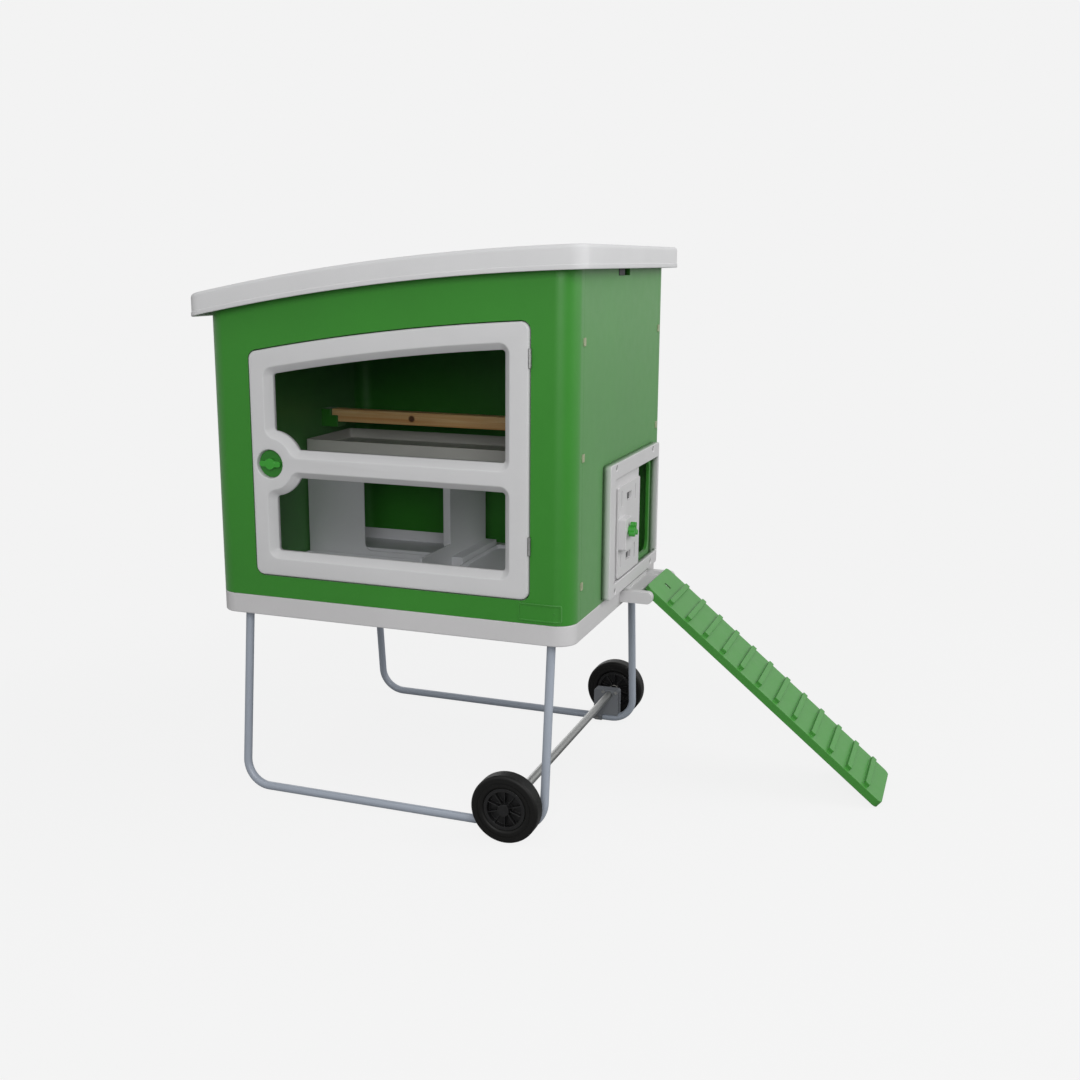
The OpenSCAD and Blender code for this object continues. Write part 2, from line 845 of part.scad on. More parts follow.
// Three-lobed knob that locks the sliding door
module pop_knob() {
    color(green) house() {
        bar_x(pop_knob_y, pop_knob_z, 5, pop_panel_x[0] + 2, boss_x + 2);
        bar_x(pop_knob_y, pop_knob_z, 14, boss_x + lift_clear, boss_x + 20);
        for (a = [90, 210, 330]) {
            bar_x(pop_knob_y + lobe_at * cos(a), pop_knob_z + lobe_at * sin(a), 8, boss_x + 5, boss_x + 22);
        }
    }
}

// Bracket on the base that carries the ramp pin
arm_y = ramp_w / 2 + arm_gap;
arm_h = 20;
landing = 50;
pin_half = arm_y + arm_t - 5;
ramp_screws_at = [for (s = [-1, 1]) [ramp_y + s * 80, pivot_z - 6]];
module ramp_bracket() {
    color(grey) house() difference() {
        union() {
            for (s = [-1, 1]) {
                y = ramp_y + s * (arm_y + arm_t / 2);
                through_y(y - arm_t / 2, y + arm_t / 2) {
                    translate([side_x, pivot_z - arm_h])
                        square([pivot_out - arm_h, 2 * arm_h - 2]);
                    round_rect(pivot_x - 2 * arm_h, pivot_x + ear_r, pivot_z - arm_h,
                        pivot_z + arm_h - 2, 17);
                }
            }
            block([side_x, ramp_y - arm_y - 1, pivot_z - arm_h],
                [side_x + 10, ramp_y + arm_y + 1, pivot_z + arm_h - 2]);
            block([side_x, ramp_y - arm_y - 1, pivot_z],
                [side_x + landing, ramp_y + arm_y + 1, pivot_z + 6]);
            block([side_x + landing - 8, ramp_y - arm_y - 1, pivot_z - arm_h + 4],
                [side_x + landing, ramp_y + arm_y + 1, pivot_z + eps]);
        }
        bar_y(pivot_x, pivot_z, ramp_pin_r + run_fit, ramp_y - pin_half - lift_clear,
            ramp_y + pin_half + lift_clear);
        for (p = ramp_screws_at) {
            bar_x(p[0], p[1], screw_r + run_fit, side_x - eps, side_x + 12);
        }
    }
}

// Screws that hold the ramp bracket to the base
module ramp_bracket_screws() {
    color(steel) house() for (p = ramp_screws_at) {
        bar_x(p[0], p[1], screw_r, side_x - deck_t, side_x + 11);
        bar_x(p[0], p[1], 5, side_x + 10, side_x + 13);
    }
}

// Pin that the ramp swings on, held in blind holes of the arms
module ramp_pin() {
    color(steel) house()
        bar_y(pivot_x, pivot_z, ramp_pin_r, ramp_y - pin_half, ramp_y + pin_half);
}

// Ramp: a sheet with skirts, cleats, a hand slot and two ears on the pin
module ramp() {
    half = ramp_w / 2;
    color([0.3, 0.55, 0.25]) house()
        translate([pivot_x, ramp_y, pivot_z]) rotate([0, ramp_angle, 0])
        translate([-ramp_a, 0, ramp_b]) difference() {
            union() {
                difference() {
                    translate([0, 0, -ramp_skirt]) linear_extrude(ramp_skirt)
                        round_rect(0, ramp_l, -half, half, ramp_corner);
                    translate([0, 0, -ramp_skirt - eps])
                        linear_extrude(ramp_skirt - ramp_t + eps)
                        round_rect(ramp_t, ramp_l - ramp_t, -half + ramp_t, half - ramp_t,
                            ramp_corner - ramp_t);
                }
                for (i = [0 : cleat_n - 1]) {
                    translate([cleat_clear[0] + i * cleat_pitch, 0, -eps])
                        linear_extrude(cleat_h + eps)
                        round_rect(0, cleat_w, -cleat_l / 2, cleat_l / 2, 3);
                }
                for (s = [-1, 1]) {
                    bar_y(ramp_a, -ramp_b, ear_r, s * (half - 6) - 6, s * (half - 6) + 6);
                }
            }
            bar_y(ramp_a, -ramp_b, ramp_pin_r + run_fit, -half - eps, half + eps);
            translate([0, 0, -ramp_t - eps]) linear_extrude(ramp_t + 2 * eps)
                round_rect(31, 57, -6, 6, 5.9);
        }
}

// Square wooden perch
module perch() {
    color([0.8, 0.62, 0.38]) house()
        block([-perch_half, perch_y - perch_s / 2, perch_z],
            [perch_half, perch_y + perch_s / 2, perch_z + perch_s]);
}

// Cradles on the side walls that the perch ends drop into
module perch_cradles() {
    wide = perch_s / 2 + 8;
    color(green) house() for (s = [0, 1]) mirror([s, 0, 0]) difference() {
        block([perch_half - 25, perch_y - wide, perch_z - 18],
            [in_x, perch_y + wide, perch_z + perch_s]);
        block([perch_half - 26, perch_y - perch_s / 2 - 0.5, perch_z],
            [perch_half + 1, perch_y + perch_s / 2 + 0.5, perch_z + perch_s + eps]);
        block([perch_half - 26, perch_y - wide - eps, perch_z + 22],
            [perch_half + 1, perch_y + wide + eps, perch_z + perch_s + eps]);
    }
}

// Open tray between two corners with a floor and a rim
module tray(lo, hi, t, r) {
    difference() {
        translate([0, 0, lo[2]]) linear_extrude(hi[2] - lo[2])
            round_rect(lo[0], hi[0], lo[1], hi[1], r);
        translate([0, 0, lo[2] + t]) linear_extrude(hi[2] - lo[2])
            round_rect(lo[0] + t, hi[0] - t, lo[1] + t, hi[1] - t, r - t + eps);
    }
}

// Droppings tray under the perch
module droppings_tray() {
    color(grey) house()
        tray([-in_x + 6, nest_front - 10, drop_tray_z],
            [in_x - 7, nest_back - 4, drop_tray_z + drop_tray_h], 4, 12);
}

// Brackets on the right wall that carry the tray's end
module tray_brackets() {
    color(grey) house() for (y = [[hole_y[0] - 21, hole_y[0] - 3], [hole_y[1] + 7, nest_back - 6]]) {
        block([in_x - 46, y[0], drop_tray_z - 18], [in_x, y[1], drop_tray_z]);
    }
}

// Nest box, open at the back: front with a mouth, sides, top and a low kerb
module nest_box() {
    color(grey) house() difference() {
        union() {
            block([nest_left, nest_front, floor_z], [nest_right, nest_back, nest_top]);
            block([nest_right - nest_board[0], nest_front - nest_board[1], floor_z],
                [nest_right, nest_front + eps, floor_z + nest_board[2]]);
            block([nest_right - eps, nest_front + 8, floor_z],
                [nest_right + 40, nest_back, floor_z + 33]);
        }
        block([nest_left + nest_t, nest_front + nest_t, floor_z - eps],
            [nest_right - nest_t, nest_back + eps, nest_top - nest_t]);
        block([nest_right + 5, nest_front + 13, floor_z - eps],
            [nest_right + 35, nest_back - 5, floor_z + 28]);
        through_y(nest_front - eps, nest_front + nest_t + eps)
            round_rect(nest_right - nest_lip - nest_mouth_w, nest_right - nest_lip,
                floor_z + nest_step, nest_top - nest_lip, 25);
    }
}

// Tray in the nest
module nest_tray() {
    color(grey) house()
        tray([nest_left + nest_t + 4, nest_front + nest_t + 2, floor_z],
            [nest_right - nest_t - 4, nest_back - 3, floor_z + 40], 3, 12);
}

// Two floor trays
module floor_tray_left() {
    color(grey) house()
        tray([-in_x + 6, front_y + wall_t + 32, floor_z],
            [nest_right - 10, nest_front - 4, floor_z + tray_h], 3, 14);
}
module floor_tray_right() {
    color(grey) house()
        tray([nest_right + 43, front_y + wall_t + 32, floor_z],
            [in_x - 6, nest_back, floor_z + tray_h], 3, 14);
}

// Ring section of a tube
module tube_ring() {
    difference() {
        circle(r = tube_r);
        circle(r = tube_r - tube_t);
    }
}

// Solid bar along the ground run and round the right-hand bend
module run_bar(r) {
    rotate([0, 90, 0]) cylinder(r = r, h = run);
    translate([run, 0, bend_r]) rotate([90, 0, 0]) rotate([0, 0, -90])
        rotate_extrude(angle = 90) translate([bend_r, 0]) circle(r = r);
}

// One bent tube: ground run, two bends and two splayed legs
module leg_frame(side) {
    difference() {
        on_stand(side) {
            translate([-run, 0, 0]) rotate([0, 90, 0]) linear_extrude(2 * run) tube_ring();
            for (s = [0, 1]) mirror([s, 0, 0]) {
                translate([run, 0, bend_r]) rotate([90, 0, 0]) rotate([0, 0, -90])
                    rotate_extrude(angle = 90) translate([bend_r, 0]) tube_ring();
                translate([leg_x, 0, bend_r]) linear_extrude(leg_l - bend_r) tube_ring();
            }
        }
        on_stand(side) for (x = [-leg_x, leg_x]) {
            translate([x, 0, 0]) leg_bolt_hole(bolt_r + run_fit, 2 * tube_r);
        }
        bar_y(bracket_bolts_at[2][0], bracket_bolts_at[2][1], bolt_r + run_fit,
            side * leg_foot_y - 2 * tube_r, side * leg_foot_y + 2 * tube_r);
    }
}
module front_leg_frame() {
    color(tube_grey) house() leg_frame(-1);
}
module rear_leg_frame() {
    color(tube_grey) house() leg_frame(1);
}

// Hex bolt along Z with its nut, head below
module hex_bolt(grip) {
    cylinder(r = bolt_r, h = grip + 6);
    translate([0, 0, -4]) cylinder(r = 6, h = 4, $fn = 6);
    translate([0, 0, grip]) cylinder(r = 6, h = 5, $fn = 6);
}

// Bolts through the sockets and the leg tubes
module leg_bolts() {
    color(steel) house() each_leg() translate([-socket_r, 0, leg_bolt_l])
        rotate([0, 90, 0]) hex_bolt(2 * socket_r);
}

// Bracket that saddles the ground run and carries the axle
module axle_bracket(side) {
    y = side * leg_foot_y;
    y_in = y - side * (bracket_half + eps);
    difference() {
        through_y(y - bracket_half, y + bracket_half)
            round_rect(bracket_x[0], bracket_x[1], bracket_z[0], bracket_z[1], 8);
        on_stand(side) run_bar(tube_r + run_fit);
        block([bracket_x[0] - eps, y - tube_r - run_fit, -eps],
            [bracket_x[1] + eps, y + tube_r + run_fit, tube_r]);
        block([bracket_x[0] + strap_w, min(y, y_in), -eps],
            [bracket_x[1] + eps, max(y, y_in), 2 * tube_r + 1]);
        bar_y(axle_x, axle_z, tube_r + run_fit, y - 2 * bracket_half, y + 2 * bracket_half);
        for (p = bracket_bolts_at) {
            bar_y(p[0], p[1], bolt_r + run_fit, y - 2 * bracket_half, y + 2 * bracket_half);
        }
    }
}
module front_axle_bracket() {
    color(tube_grey) house() axle_bracket(-1);
}
module rear_axle_bracket() {
    color(tube_grey) house() axle_bracket(1);
}

// Bolts of the axle brackets, heads outward
module bracket_bolts() {
    color(steel) house() for (side = [-1, 1], p = bracket_bolts_at) {
        translate([p[0], side * (leg_foot_y + bracket_half), p[1]])
            rotate([side * 90, 0, 0]) hex_bolt(2 * bracket_half);
    }
}

// Axle tube through both brackets
module axle() {
    color(steel) house() difference() {
        bar_y(axle_x, axle_z, tube_r, -wheel_out, wheel_out);
        bar_y(axle_x, axle_z, tube_r - tube_t, -wheel_out - eps, wheel_out + eps);
    }
}

// Sleeves between the brackets and the wheels
module axle_spacers() {
    color(black) house() for (s = [0, 1]) mirror([0, s, 0]) difference() {
        bar_y(axle_x, axle_z, spacer_r, leg_foot_y + bracket_half, spacer_end);
        bar_y(axle_x, axle_z, tube_r + run_fit, leg_foot_y, wheel_y);
    }
}

// Caps plugged into the axle ends
module axle_caps() {
    color(black) house() for (s = [0, 1]) mirror([0, s, 0]) {
        bar_y(axle_x, axle_z, hub_r, wheel_out, wheel_out + 4);
        bar_y(axle_x, axle_z, tube_r - tube_t, wheel_out - 15, wheel_out + eps);
    }
}

// Puts a wheel piece on the axle with its axis along Y
module on_axle(side) {
    translate([axle_x, side * wheel_y, axle_z]) rotate([90, 0, 0]) children();
}

// Tyre with rounded shoulders and a thin ring groove in each side
module tyre() {
    rotate_extrude($fn = 128) difference() {
        round_rect(rim_r[1], wheel_r, -wheel_w / 2, wheel_w / 2, 9);
        for (s = [-1, 1]) {
            translate([wheel_r - wall_groove[0], s * wheel_w / 2])
                square([wall_groove[1], 2 * wall_groove[2]], center = true);
        }
    }
}
module front_tyre() {
    color(black) house() on_axle(-1) tyre();
}
module rear_tyre() {
    color(black) house() on_axle(1) tyre();
}

// Wheel centre: rim, thin web, fins and a sleeve for the bush
module wheel_hub() {
    difference() {
        union() {
            rotate_extrude($fn = 128) {
                translate([rim_r[0], -wheel_w / 2 + 4])
                    square([rim_r[1] - rim_r[0], wheel_w - 8]);
                translate([bush_r, -3]) square([rim_r[0] - bush_r + eps, 6]);
                translate([bush_r, -wheel_w / 2]) square([hub_r - bush_r, wheel_w]);
            }
            for (i = [0 : fin_n - 1]) {
                rotate([0, 0, (i + 0.5) * 360 / fin_n])
                    translate([hub_r - eps, -1.5, -wheel_w / 2 + 7])
                    cube([rim_r[0] - hub_r + 2 * eps, 3, wheel_w - 14]);
            }
        }
        cylinder(r = bush_r, h = 2 * wheel_w, center = true);
    }
}
module front_wheel_hub() {
    color(black) house() on_axle(-1) wheel_hub();
}
module rear_wheel_hub() {
    color(black) house() on_axle(1) wheel_hub();
}

// Plain bush that runs on the axle
module wheel_bush() {
    difference() {
        cylinder(r = bush_r, h = wheel_w, center = true);
        cylinder(r = tube_r + run_fit, h = 2 * wheel_w, center = true);
    }
}
module front_wheel_bush() {
    color([0.85, 0.85, 0.82]) house() on_axle(-1) wheel_bush();
}
module rear_wheel_bush() {
    color([0.85, 0.85, 0.82]) house() on_axle(1) wheel_bush();
}

base_tray();
front_panel();
back_panel();
left_panel();
right_panel();
corner_clips();
blank_plaque();
roof_lid();
roof_catch();
door_frame();
upper_window();
lower_window();
window_beads();
door_knob();
latch_tongue();
frame_hinge_leaves();
door_hinge_leaves();
hinge_pins();
pop_frame();
pop_frame_screws();
pop_door();
pop_knob();
ramp_bracket();
ramp_bracket_screws();
ramp_pin();
ramp();
perch();
perch_cradles();
droppings_tray();
tray_brackets();
nest_box();
nest_tray();
floor_tray_left();
floor_tray_right();
front_leg_frame();
rear_leg_frame();
leg_bolts();
front_axle_bracket();
rear_axle_bracket();
bracket_bolts();
axle();
axle_spacers();
axle_caps();
front_tyre();
rear_tyre();
front_wheel_hub();
rear_wheel_hub();
front_wheel_bush();
rear_wheel_bush();
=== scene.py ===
import json
import math

import bmesh
import bpy
import numpy as np
from mathutils import Matrix, Vector
from mathutils.geometry import tessellate_polygon


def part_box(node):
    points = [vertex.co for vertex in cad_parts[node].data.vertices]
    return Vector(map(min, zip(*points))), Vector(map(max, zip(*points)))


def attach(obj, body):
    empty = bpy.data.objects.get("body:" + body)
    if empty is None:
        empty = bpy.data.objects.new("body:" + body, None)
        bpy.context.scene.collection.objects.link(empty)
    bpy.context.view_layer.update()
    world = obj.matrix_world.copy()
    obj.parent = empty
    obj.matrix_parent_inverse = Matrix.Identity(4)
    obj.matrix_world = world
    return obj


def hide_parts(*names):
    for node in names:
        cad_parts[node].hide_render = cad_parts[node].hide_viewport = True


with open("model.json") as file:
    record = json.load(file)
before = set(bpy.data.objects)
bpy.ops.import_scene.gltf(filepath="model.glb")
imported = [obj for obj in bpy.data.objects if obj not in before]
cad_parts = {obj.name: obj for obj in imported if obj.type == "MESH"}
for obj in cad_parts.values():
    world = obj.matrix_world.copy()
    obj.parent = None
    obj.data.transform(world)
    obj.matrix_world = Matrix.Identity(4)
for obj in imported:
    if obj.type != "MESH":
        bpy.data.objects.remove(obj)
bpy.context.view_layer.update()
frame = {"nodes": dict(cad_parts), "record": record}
body_of_node = {
    node: body for body, nodes in frame["record"]["behaviour"]["bodies"].items() for node in nodes}

# Camera, placed as the photograph was taken.
# Its place and turn were fitted to the straight edges of the house, about the middle of the base.
base_lo, base_hi = (np.array(c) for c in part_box("base_tray"))
mid_x = (base_lo[0] + base_hi[0]) / 2
eye = Vector((mid_x + 1.59608, -3.64472, 1.60301))
turn, tilt, roll = math.radians(19.544), math.radians(12.487), math.radians(0.382)
back = Vector((math.sin(turn) * math.cos(tilt), -math.cos(turn) * math.cos(tilt), math.sin(tilt)))
level_right = Vector((math.cos(turn), math.sin(turn), 0))
level_up = back.cross(level_right)
right = math.cos(roll) * level_right + math.sin(roll) * level_up
up = -math.sin(roll) * level_right + math.cos(roll) * level_up
lens_mm, film_mm = 42.36, 36.0
camera_data = bpy.data.cameras.new("camera")
camera_data.lens = lens_mm
camera_data.sensor_width = film_mm
camera = bpy.data.objects.new("camera", camera_data)
bpy.context.scene.collection.objects.link(camera)
camera.matrix_world = Matrix((
    (right.x, up.x, back.x, eye.x),
    (right.y, up.y, back.y, eye.y),
    (right.z, up.z, back.z, eye.z),
    (0, 0, 0, 1)))
bpy.context.scene.camera = camera
bpy.context.scene.view_settings.view_transform = "Standard"

# Studio: an even pale surround, a pale floor and four large soft lamps.
# The floor and the surround show the same pale grey to the camera and in reflections, and near the
# object a share of the floor's own matt paint lets its faint shadow show.
pale = (0.896, 0.896, 0.896, 1)
world = bpy.data.worlds.new("studio")
world.use_nodes = True
wn, wl = world.node_tree.nodes, world.node_tree.links
wn.clear()
world_out = wn.new("ShaderNodeOutputWorld")
seen = wn.new("ShaderNodeBackground")
seen.inputs["Color"].default_value = pale
lit = wn.new("ShaderNodeBackground")
lit.inputs["Color"].default_value = (1, 1, 1, 1)
lit.inputs["Strength"].default_value = 0.31
rays = wn.new("ShaderNodeLightPath")
glossy_or_seen = wn.new("ShaderNodeMath")
glossy_or_seen.operation = "MAXIMUM"
any_view = wn.new("ShaderNodeMath")
any_view.operation = "MAXIMUM"
choose = wn.new("ShaderNodeMixShader")
wl.new(rays.outputs["Is Camera Ray"], glossy_or_seen.inputs[0])
wl.new(rays.outputs["Is Glossy Ray"], glossy_or_seen.inputs[1])
wl.new(glossy_or_seen.outputs[0], any_view.inputs[0])
wl.new(rays.outputs["Is Transmission Ray"], any_view.inputs[1])
wl.new(any_view.outputs[0], choose.inputs["Fac"])
wl.new(lit.outputs[0], choose.inputs[1])
wl.new(seen.outputs[0], choose.inputs[2])
wl.new(choose.outputs[0], world_out.inputs["Surface"])
bpy.context.scene.world = world


def lamp(name, place, aim, size, watts):
    """A square soft lamp of the given side at a place, turned so that its face looks at a point."""
    data = bpy.data.lights.new(name, "AREA")
    data.shape = "SQUARE"
    data.size = size
    data.energy = watts
    obj = bpy.data.objects.new(name, data)
    obj.location = place
    obj.rotation_euler = (Vector(aim) - Vector(place)).to_track_quat("-Z", "Y").to_euler()
    bpy.context.scene.collection.objects.link(obj)


house_middle = (mid_x, 0, 1.0)
lamp("key_lamp", (mid_x + 1.8, -4.5, 2.85), house_middle, 2.2, 114)
lamp("side_lamp", (mid_x + 4.6, 0.8, 3.4), house_middle, 3.0, 122)
lamp("top_lamp", (mid_x - 1.2, -1.8, 5.2), house_middle, 2.4, 30)
lamp("back_lamp", (mid_x - 3.6, 4.6, 2.2), house_middle, 3.0, 44)

floor_mesh = bpy.data.meshes.new("studio_floor")
reach, floor_level = 30.0, -0.0006
floor_mesh.from_pydata(
    [(x, y, floor_level) for x, y in ((-reach, -reach), (reach, -reach), (reach, reach), (-reach, reach))],
    [], [(0, 1, 2, 3)])
floor = bpy.data.objects.new("studio_floor", floor_mesh)
bpy.context.scene.collection.objects.link(floor)
floor_paint = bpy.data.materials.new("studio_floor_paint")
floor_paint.use_nodes = True
fn, fl = floor_paint.node_tree.nodes, floor_paint.node_tree.links
fn.clear()
floor_out = fn.new("ShaderNodeOutputMaterial")
floor_matt = fn.new("ShaderNodeBsdfDiffuse")
floor_matt.inputs["Color"].default_value = (0.42, 0.42, 0.42, 1)
floor_glow = fn.new("ShaderNodeEmission")
floor_glow.inputs["Color"].default_value = pale
floor_rays = fn.new("ShaderNodeLightPath")
floor_mix = fn.new("ShaderNodeMixShader")
floor_coords = fn.new("ShaderNodeTexCoord")
from_middle = fn.new("ShaderNodeVectorMath")
from_middle.operation = "LENGTH"
glow_share = fn.new("ShaderNodeMapRange")
glow_level = fn.new("ShaderNodeMapRange")
shadow_near, shadow_far = 1.4, 3.4
for fade, near, far in ((glow_share, 0.86, 1.0), (glow_level, 1.105, 1.0)):
    fade.interpolation_type = "SMOOTHSTEP"
    fade.inputs["From Min"].default_value = shadow_near
    fade.inputs["From Max"].default_value = shadow_far
    fade.inputs["To Min"].default_value = near
    fade.inputs["To Max"].default_value = far
    fl.new(from_middle.outputs["Value"], fade.inputs["Value"])
shown = fn.new("ShaderNodeMath")
shown.operation = "MULTIPLY"
fl.new(floor_coords.outputs["Object"], from_middle.inputs[0])
fl.new(glow_level.outputs["Result"], floor_glow.inputs["Strength"])
fl.new(floor_rays.outputs["Is Camera Ray"], shown.inputs[0])
fl.new(glow_share.outputs["Result"], shown.inputs[1])
fl.new(shown.outputs[0], floor_mix.inputs["Fac"])
fl.new(floor_matt.outputs[0], floor_mix.inputs[1])
fl.new(floor_glow.outputs[0], floor_mix.inputs[2])
fl.new(floor_mix.outputs[0], floor_out.inputs["Surface"])
floor.data.materials.append(floor_paint)


# Base: a grey rotation-moulded tray with a skirt, ribs below and four leg sockets.
# The walls stand on its deck and the legs are pushed into the sockets.
def linear(red, green, blue):
    """A screen colour of 0 to 255 as the light values that shaders take."""
    c = np.array([red, green, blue]) / 255
    low = c / 12.92
    high = ((c + 0.055) / 1.055) ** 2.4
    return tuple(np.where(c <= 0.04045, low, high)) + (1.0,)


def moulded_plastic(name, colour, rough, mottle=0.06, grain=0.00012, grain_size=1500, sheen=0.0, shine=0.5):
    """Moulded plastic: the colour drifts a little over the piece, with a fine pebbled skin."""
    mat = bpy.data.materials.new(name)
    mat.use_nodes = True
    n, l = mat.node_tree.nodes, mat.node_tree.links
    skin = n["Principled BSDF"]
    skin.inputs["Specular IOR Level"].default_value = shine
    skin.inputs["Sheen Weight"].default_value = sheen
    coords = n.new("ShaderNodeTexCoord")
    drift = n.new("ShaderNodeTexNoise")
    drift.inputs["Scale"].default_value = 4.0
    drift.inputs["Detail"].default_value = 5.0
    drift.inputs["Roughness"].default_value = 0.6
    blend = n.new("ShaderNodeMix")
    blend.data_type = "RGBA"
    dark = [max(0.0, v * (1 - mottle)) for v in colour[:3]]
    light = [min(1.0, v * (1 + mottle)) for v in colour[:3]]
    blend.inputs[6].default_value = (*dark, 1)
    blend.inputs[7].default_value = (*light, 1)
    gloss_drift = n.new("ShaderNodeTexNoise")
    gloss_drift.inputs["Scale"].default_value = 23.0
    gloss_drift.inputs["Detail"].default_value = 4.0
    gloss = n.new("ShaderNodeMapRange")
    gloss.inputs["To Min"].default_value = rough - 0.06
    gloss.inputs["To Max"].default_value = rough + 0.06
    pebble = n.new("ShaderNodeTexNoise")
    pebble.inputs["Scale"].default_value = grain_size
    pebble.inputs["Detail"].default_value = 2.0
    bump = n.new("ShaderNodeBump")
    bump.inputs["Strength"].default_value = 0.35
    bump.inputs["Distance"].default_value = grain
    for tex in (drift, gloss_drift, pebble):
        l.new(coords.outputs["Object"], tex.inputs["Vector"])
    l.new(drift.outputs["Fac"], blend.inputs[0])
    l.new(blend.outputs[2], skin.inputs["Base Color"])
    l.new(gloss_drift.outputs["Fac"], gloss.inputs["Value"])
    l.new(gloss.outputs["Result"], skin.inputs["Roughness"])
    l.new(pebble.outputs["Fac"], bump.inputs["Height"])
    l.new(bump.outputs["Normal"], skin.inputs["Normal"])
    return mat


def softened(node, edge, material, steps=3, turn_deg=32, where=None):
    """The CAD node's own shape with its sharp edges rounded, as a mould leaves them.

    The copy's triangles are merged back to flat faces, then a bevel of the given width rounds each edge
    that turns by more than turn_deg. With where, only edges whose middle passes that test are rounded."""
    shape = bmesh.new()
    shape.from_mesh(frame["nodes"][node].data)
    bmesh.ops.remove_doubles(shape, verts=shape.verts, dist=1e-6)
    bmesh.ops.dissolve_limit(shape, angle_limit=math.radians(0.7), verts=shape.verts, edges=shape.edges)
    if where:
        weight = shape.edges.layers.float.new("bevel_weight_edge")
        for e in shape.edges:
            turned = e.calc_face_angle(0.0) > math.radians(turn_deg)
            e[weight] = float(turned and where((e.verts[0].co + e.verts[1].co) / 2))
    mesh = bpy.data.meshes.new(node + "_moulding")
    shape.to_mesh(mesh)
    shape.free()
    mesh.shade_smooth()
    obj = bpy.data.objects.new(node + "_moulding", mesh)
    bpy.context.scene.collection.objects.link(obj)
    mesh.materials.clear()
    mesh.materials.append(material)
    rounding = obj.modifiers.new("rounding", "BEVEL")
    rounding.width = edge
    rounding.segments = steps
    rounding.limit_method = "WEIGHT" if where else "ANGLE"
    rounding.angle_limit = math.radians(turn_deg)
    rounding.use_clamp_overlap = False
    rounding.miter_outer = "MITER_SHARP"
    rounding.loop_slide = False
    flats = obj.modifiers.new("flats", "WEIGHTED_NORMAL")
    flats.keep_sharp = False
    flats.weight = 100
    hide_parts(node)
    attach(obj, body_of_node[node])
    return obj


def finish_node(node, material):
    """Gives a CAD node that stays in view its material."""
    obj = frame["nodes"][node]
    obj.data.materials.clear()
    obj.data.materials.append(material)


shell_grey = moulded_plastic("shell_grey", linear(206, 205, 206), 0.46)
base_corner, rim_slack = 0.060, 0.001
base_half = (base_hi - base_lo)[:2] / 2


def on_base_rim(middle):
    """True on the outer wall of the base: a rectangle with round corners, to within rim_slack."""
    over_x = max(abs(middle.x - mid_x) - base_half[0] + base_corner, 0.0)
    over_y = max(abs(middle.y) - base_half[1] + base_corner, 0.0)
    return math.hypot(over_x, over_y) > base_corner - rim_slack


softened("base_tray", 0.004, shell_grey, where=on_base_rim)

# Walls: four green rotation-moulded panels that stand on the base. The front and back ones wrap the
# corners and butt against the side panels, so each seam shows as a fine line between two rounded edges.
wall_green = moulded_plastic("wall_green", linear(40, 128, 22), 0.46, mottle=0.09, sheen=0.26)
for panel in ("front_panel", "back_panel", "left_panel", "right_panel"):
    softened(panel, 0.0006, wall_green, steps=2)

# Seam clips: small pale plastic clips across each wall seam, three to a seam.
# Each is moulded with a peg, which is pressed into a hole in the front or back wall.
clip_khaki = moulded_plastic("clip_khaki", linear(158, 164, 134), 0.55)
softened("corner_clips", 0.0006, clip_khaki, steps=2)

# Plaque: a bare plate with a raised rim, moulded in the same green plastic as the front wall.
# Two pins fix it at the lower right of the front, and its end follows the wall's round corner.
softened("blank_plaque", 0.0008, wall_green, steps=2)


# Roof: one grey moulded lid, arched from left to right, with a skirt all round.
# The skirt ends in a narrow lip, and the lid lifts off the walls.
def ring_of_plan(half_x, half_y, radius, along_x=28, along_y=10, round_n=8):
    """Points round a rectangle with round corners, counter-clockwise, always the same count.

    Each corner is an arc of round_n steps; the long sides are split so that they can follow an arch."""
    quarter = np.linspace(0, np.pi / 2, round_n + 1)
    ends = []
    for k, (sx, sy) in enumerate(((1, -1), (1, 1), (-1, 1), (-1, -1))):
        a = quarter + (k - 1) * np.pi / 2
        ends.append(np.stack([sx * (half_x - radius) + radius * np.cos(a),
                              sy * (half_y - radius) + radius * np.sin(a)], axis=1))
    splits = (along_y, along_x, along_y, along_x)
    points = []
    for k in range(4):
        points.append(ends[k])
        t = np.linspace(0, 1, splits[k] + 1)[1:-1, None]
        points.append(ends[k][-1] * (1 - t) + ends[(k + 1) % 4][0] * t)
    return np.concatenate(points)


def skin_faces(rows, count):
    """Quads between neighbouring rows of a grid whose rows are closed rings."""
    j = np.arange(count)
    i = np.arange(rows - 1)[:, None]
    nxt = (j + 1) % count
    quads = np.stack([i * count + j, i * count + nxt, (i + 1) * count + nxt, (i + 1) * count + j], axis=-1)
    return quads.reshape(-1, 4)


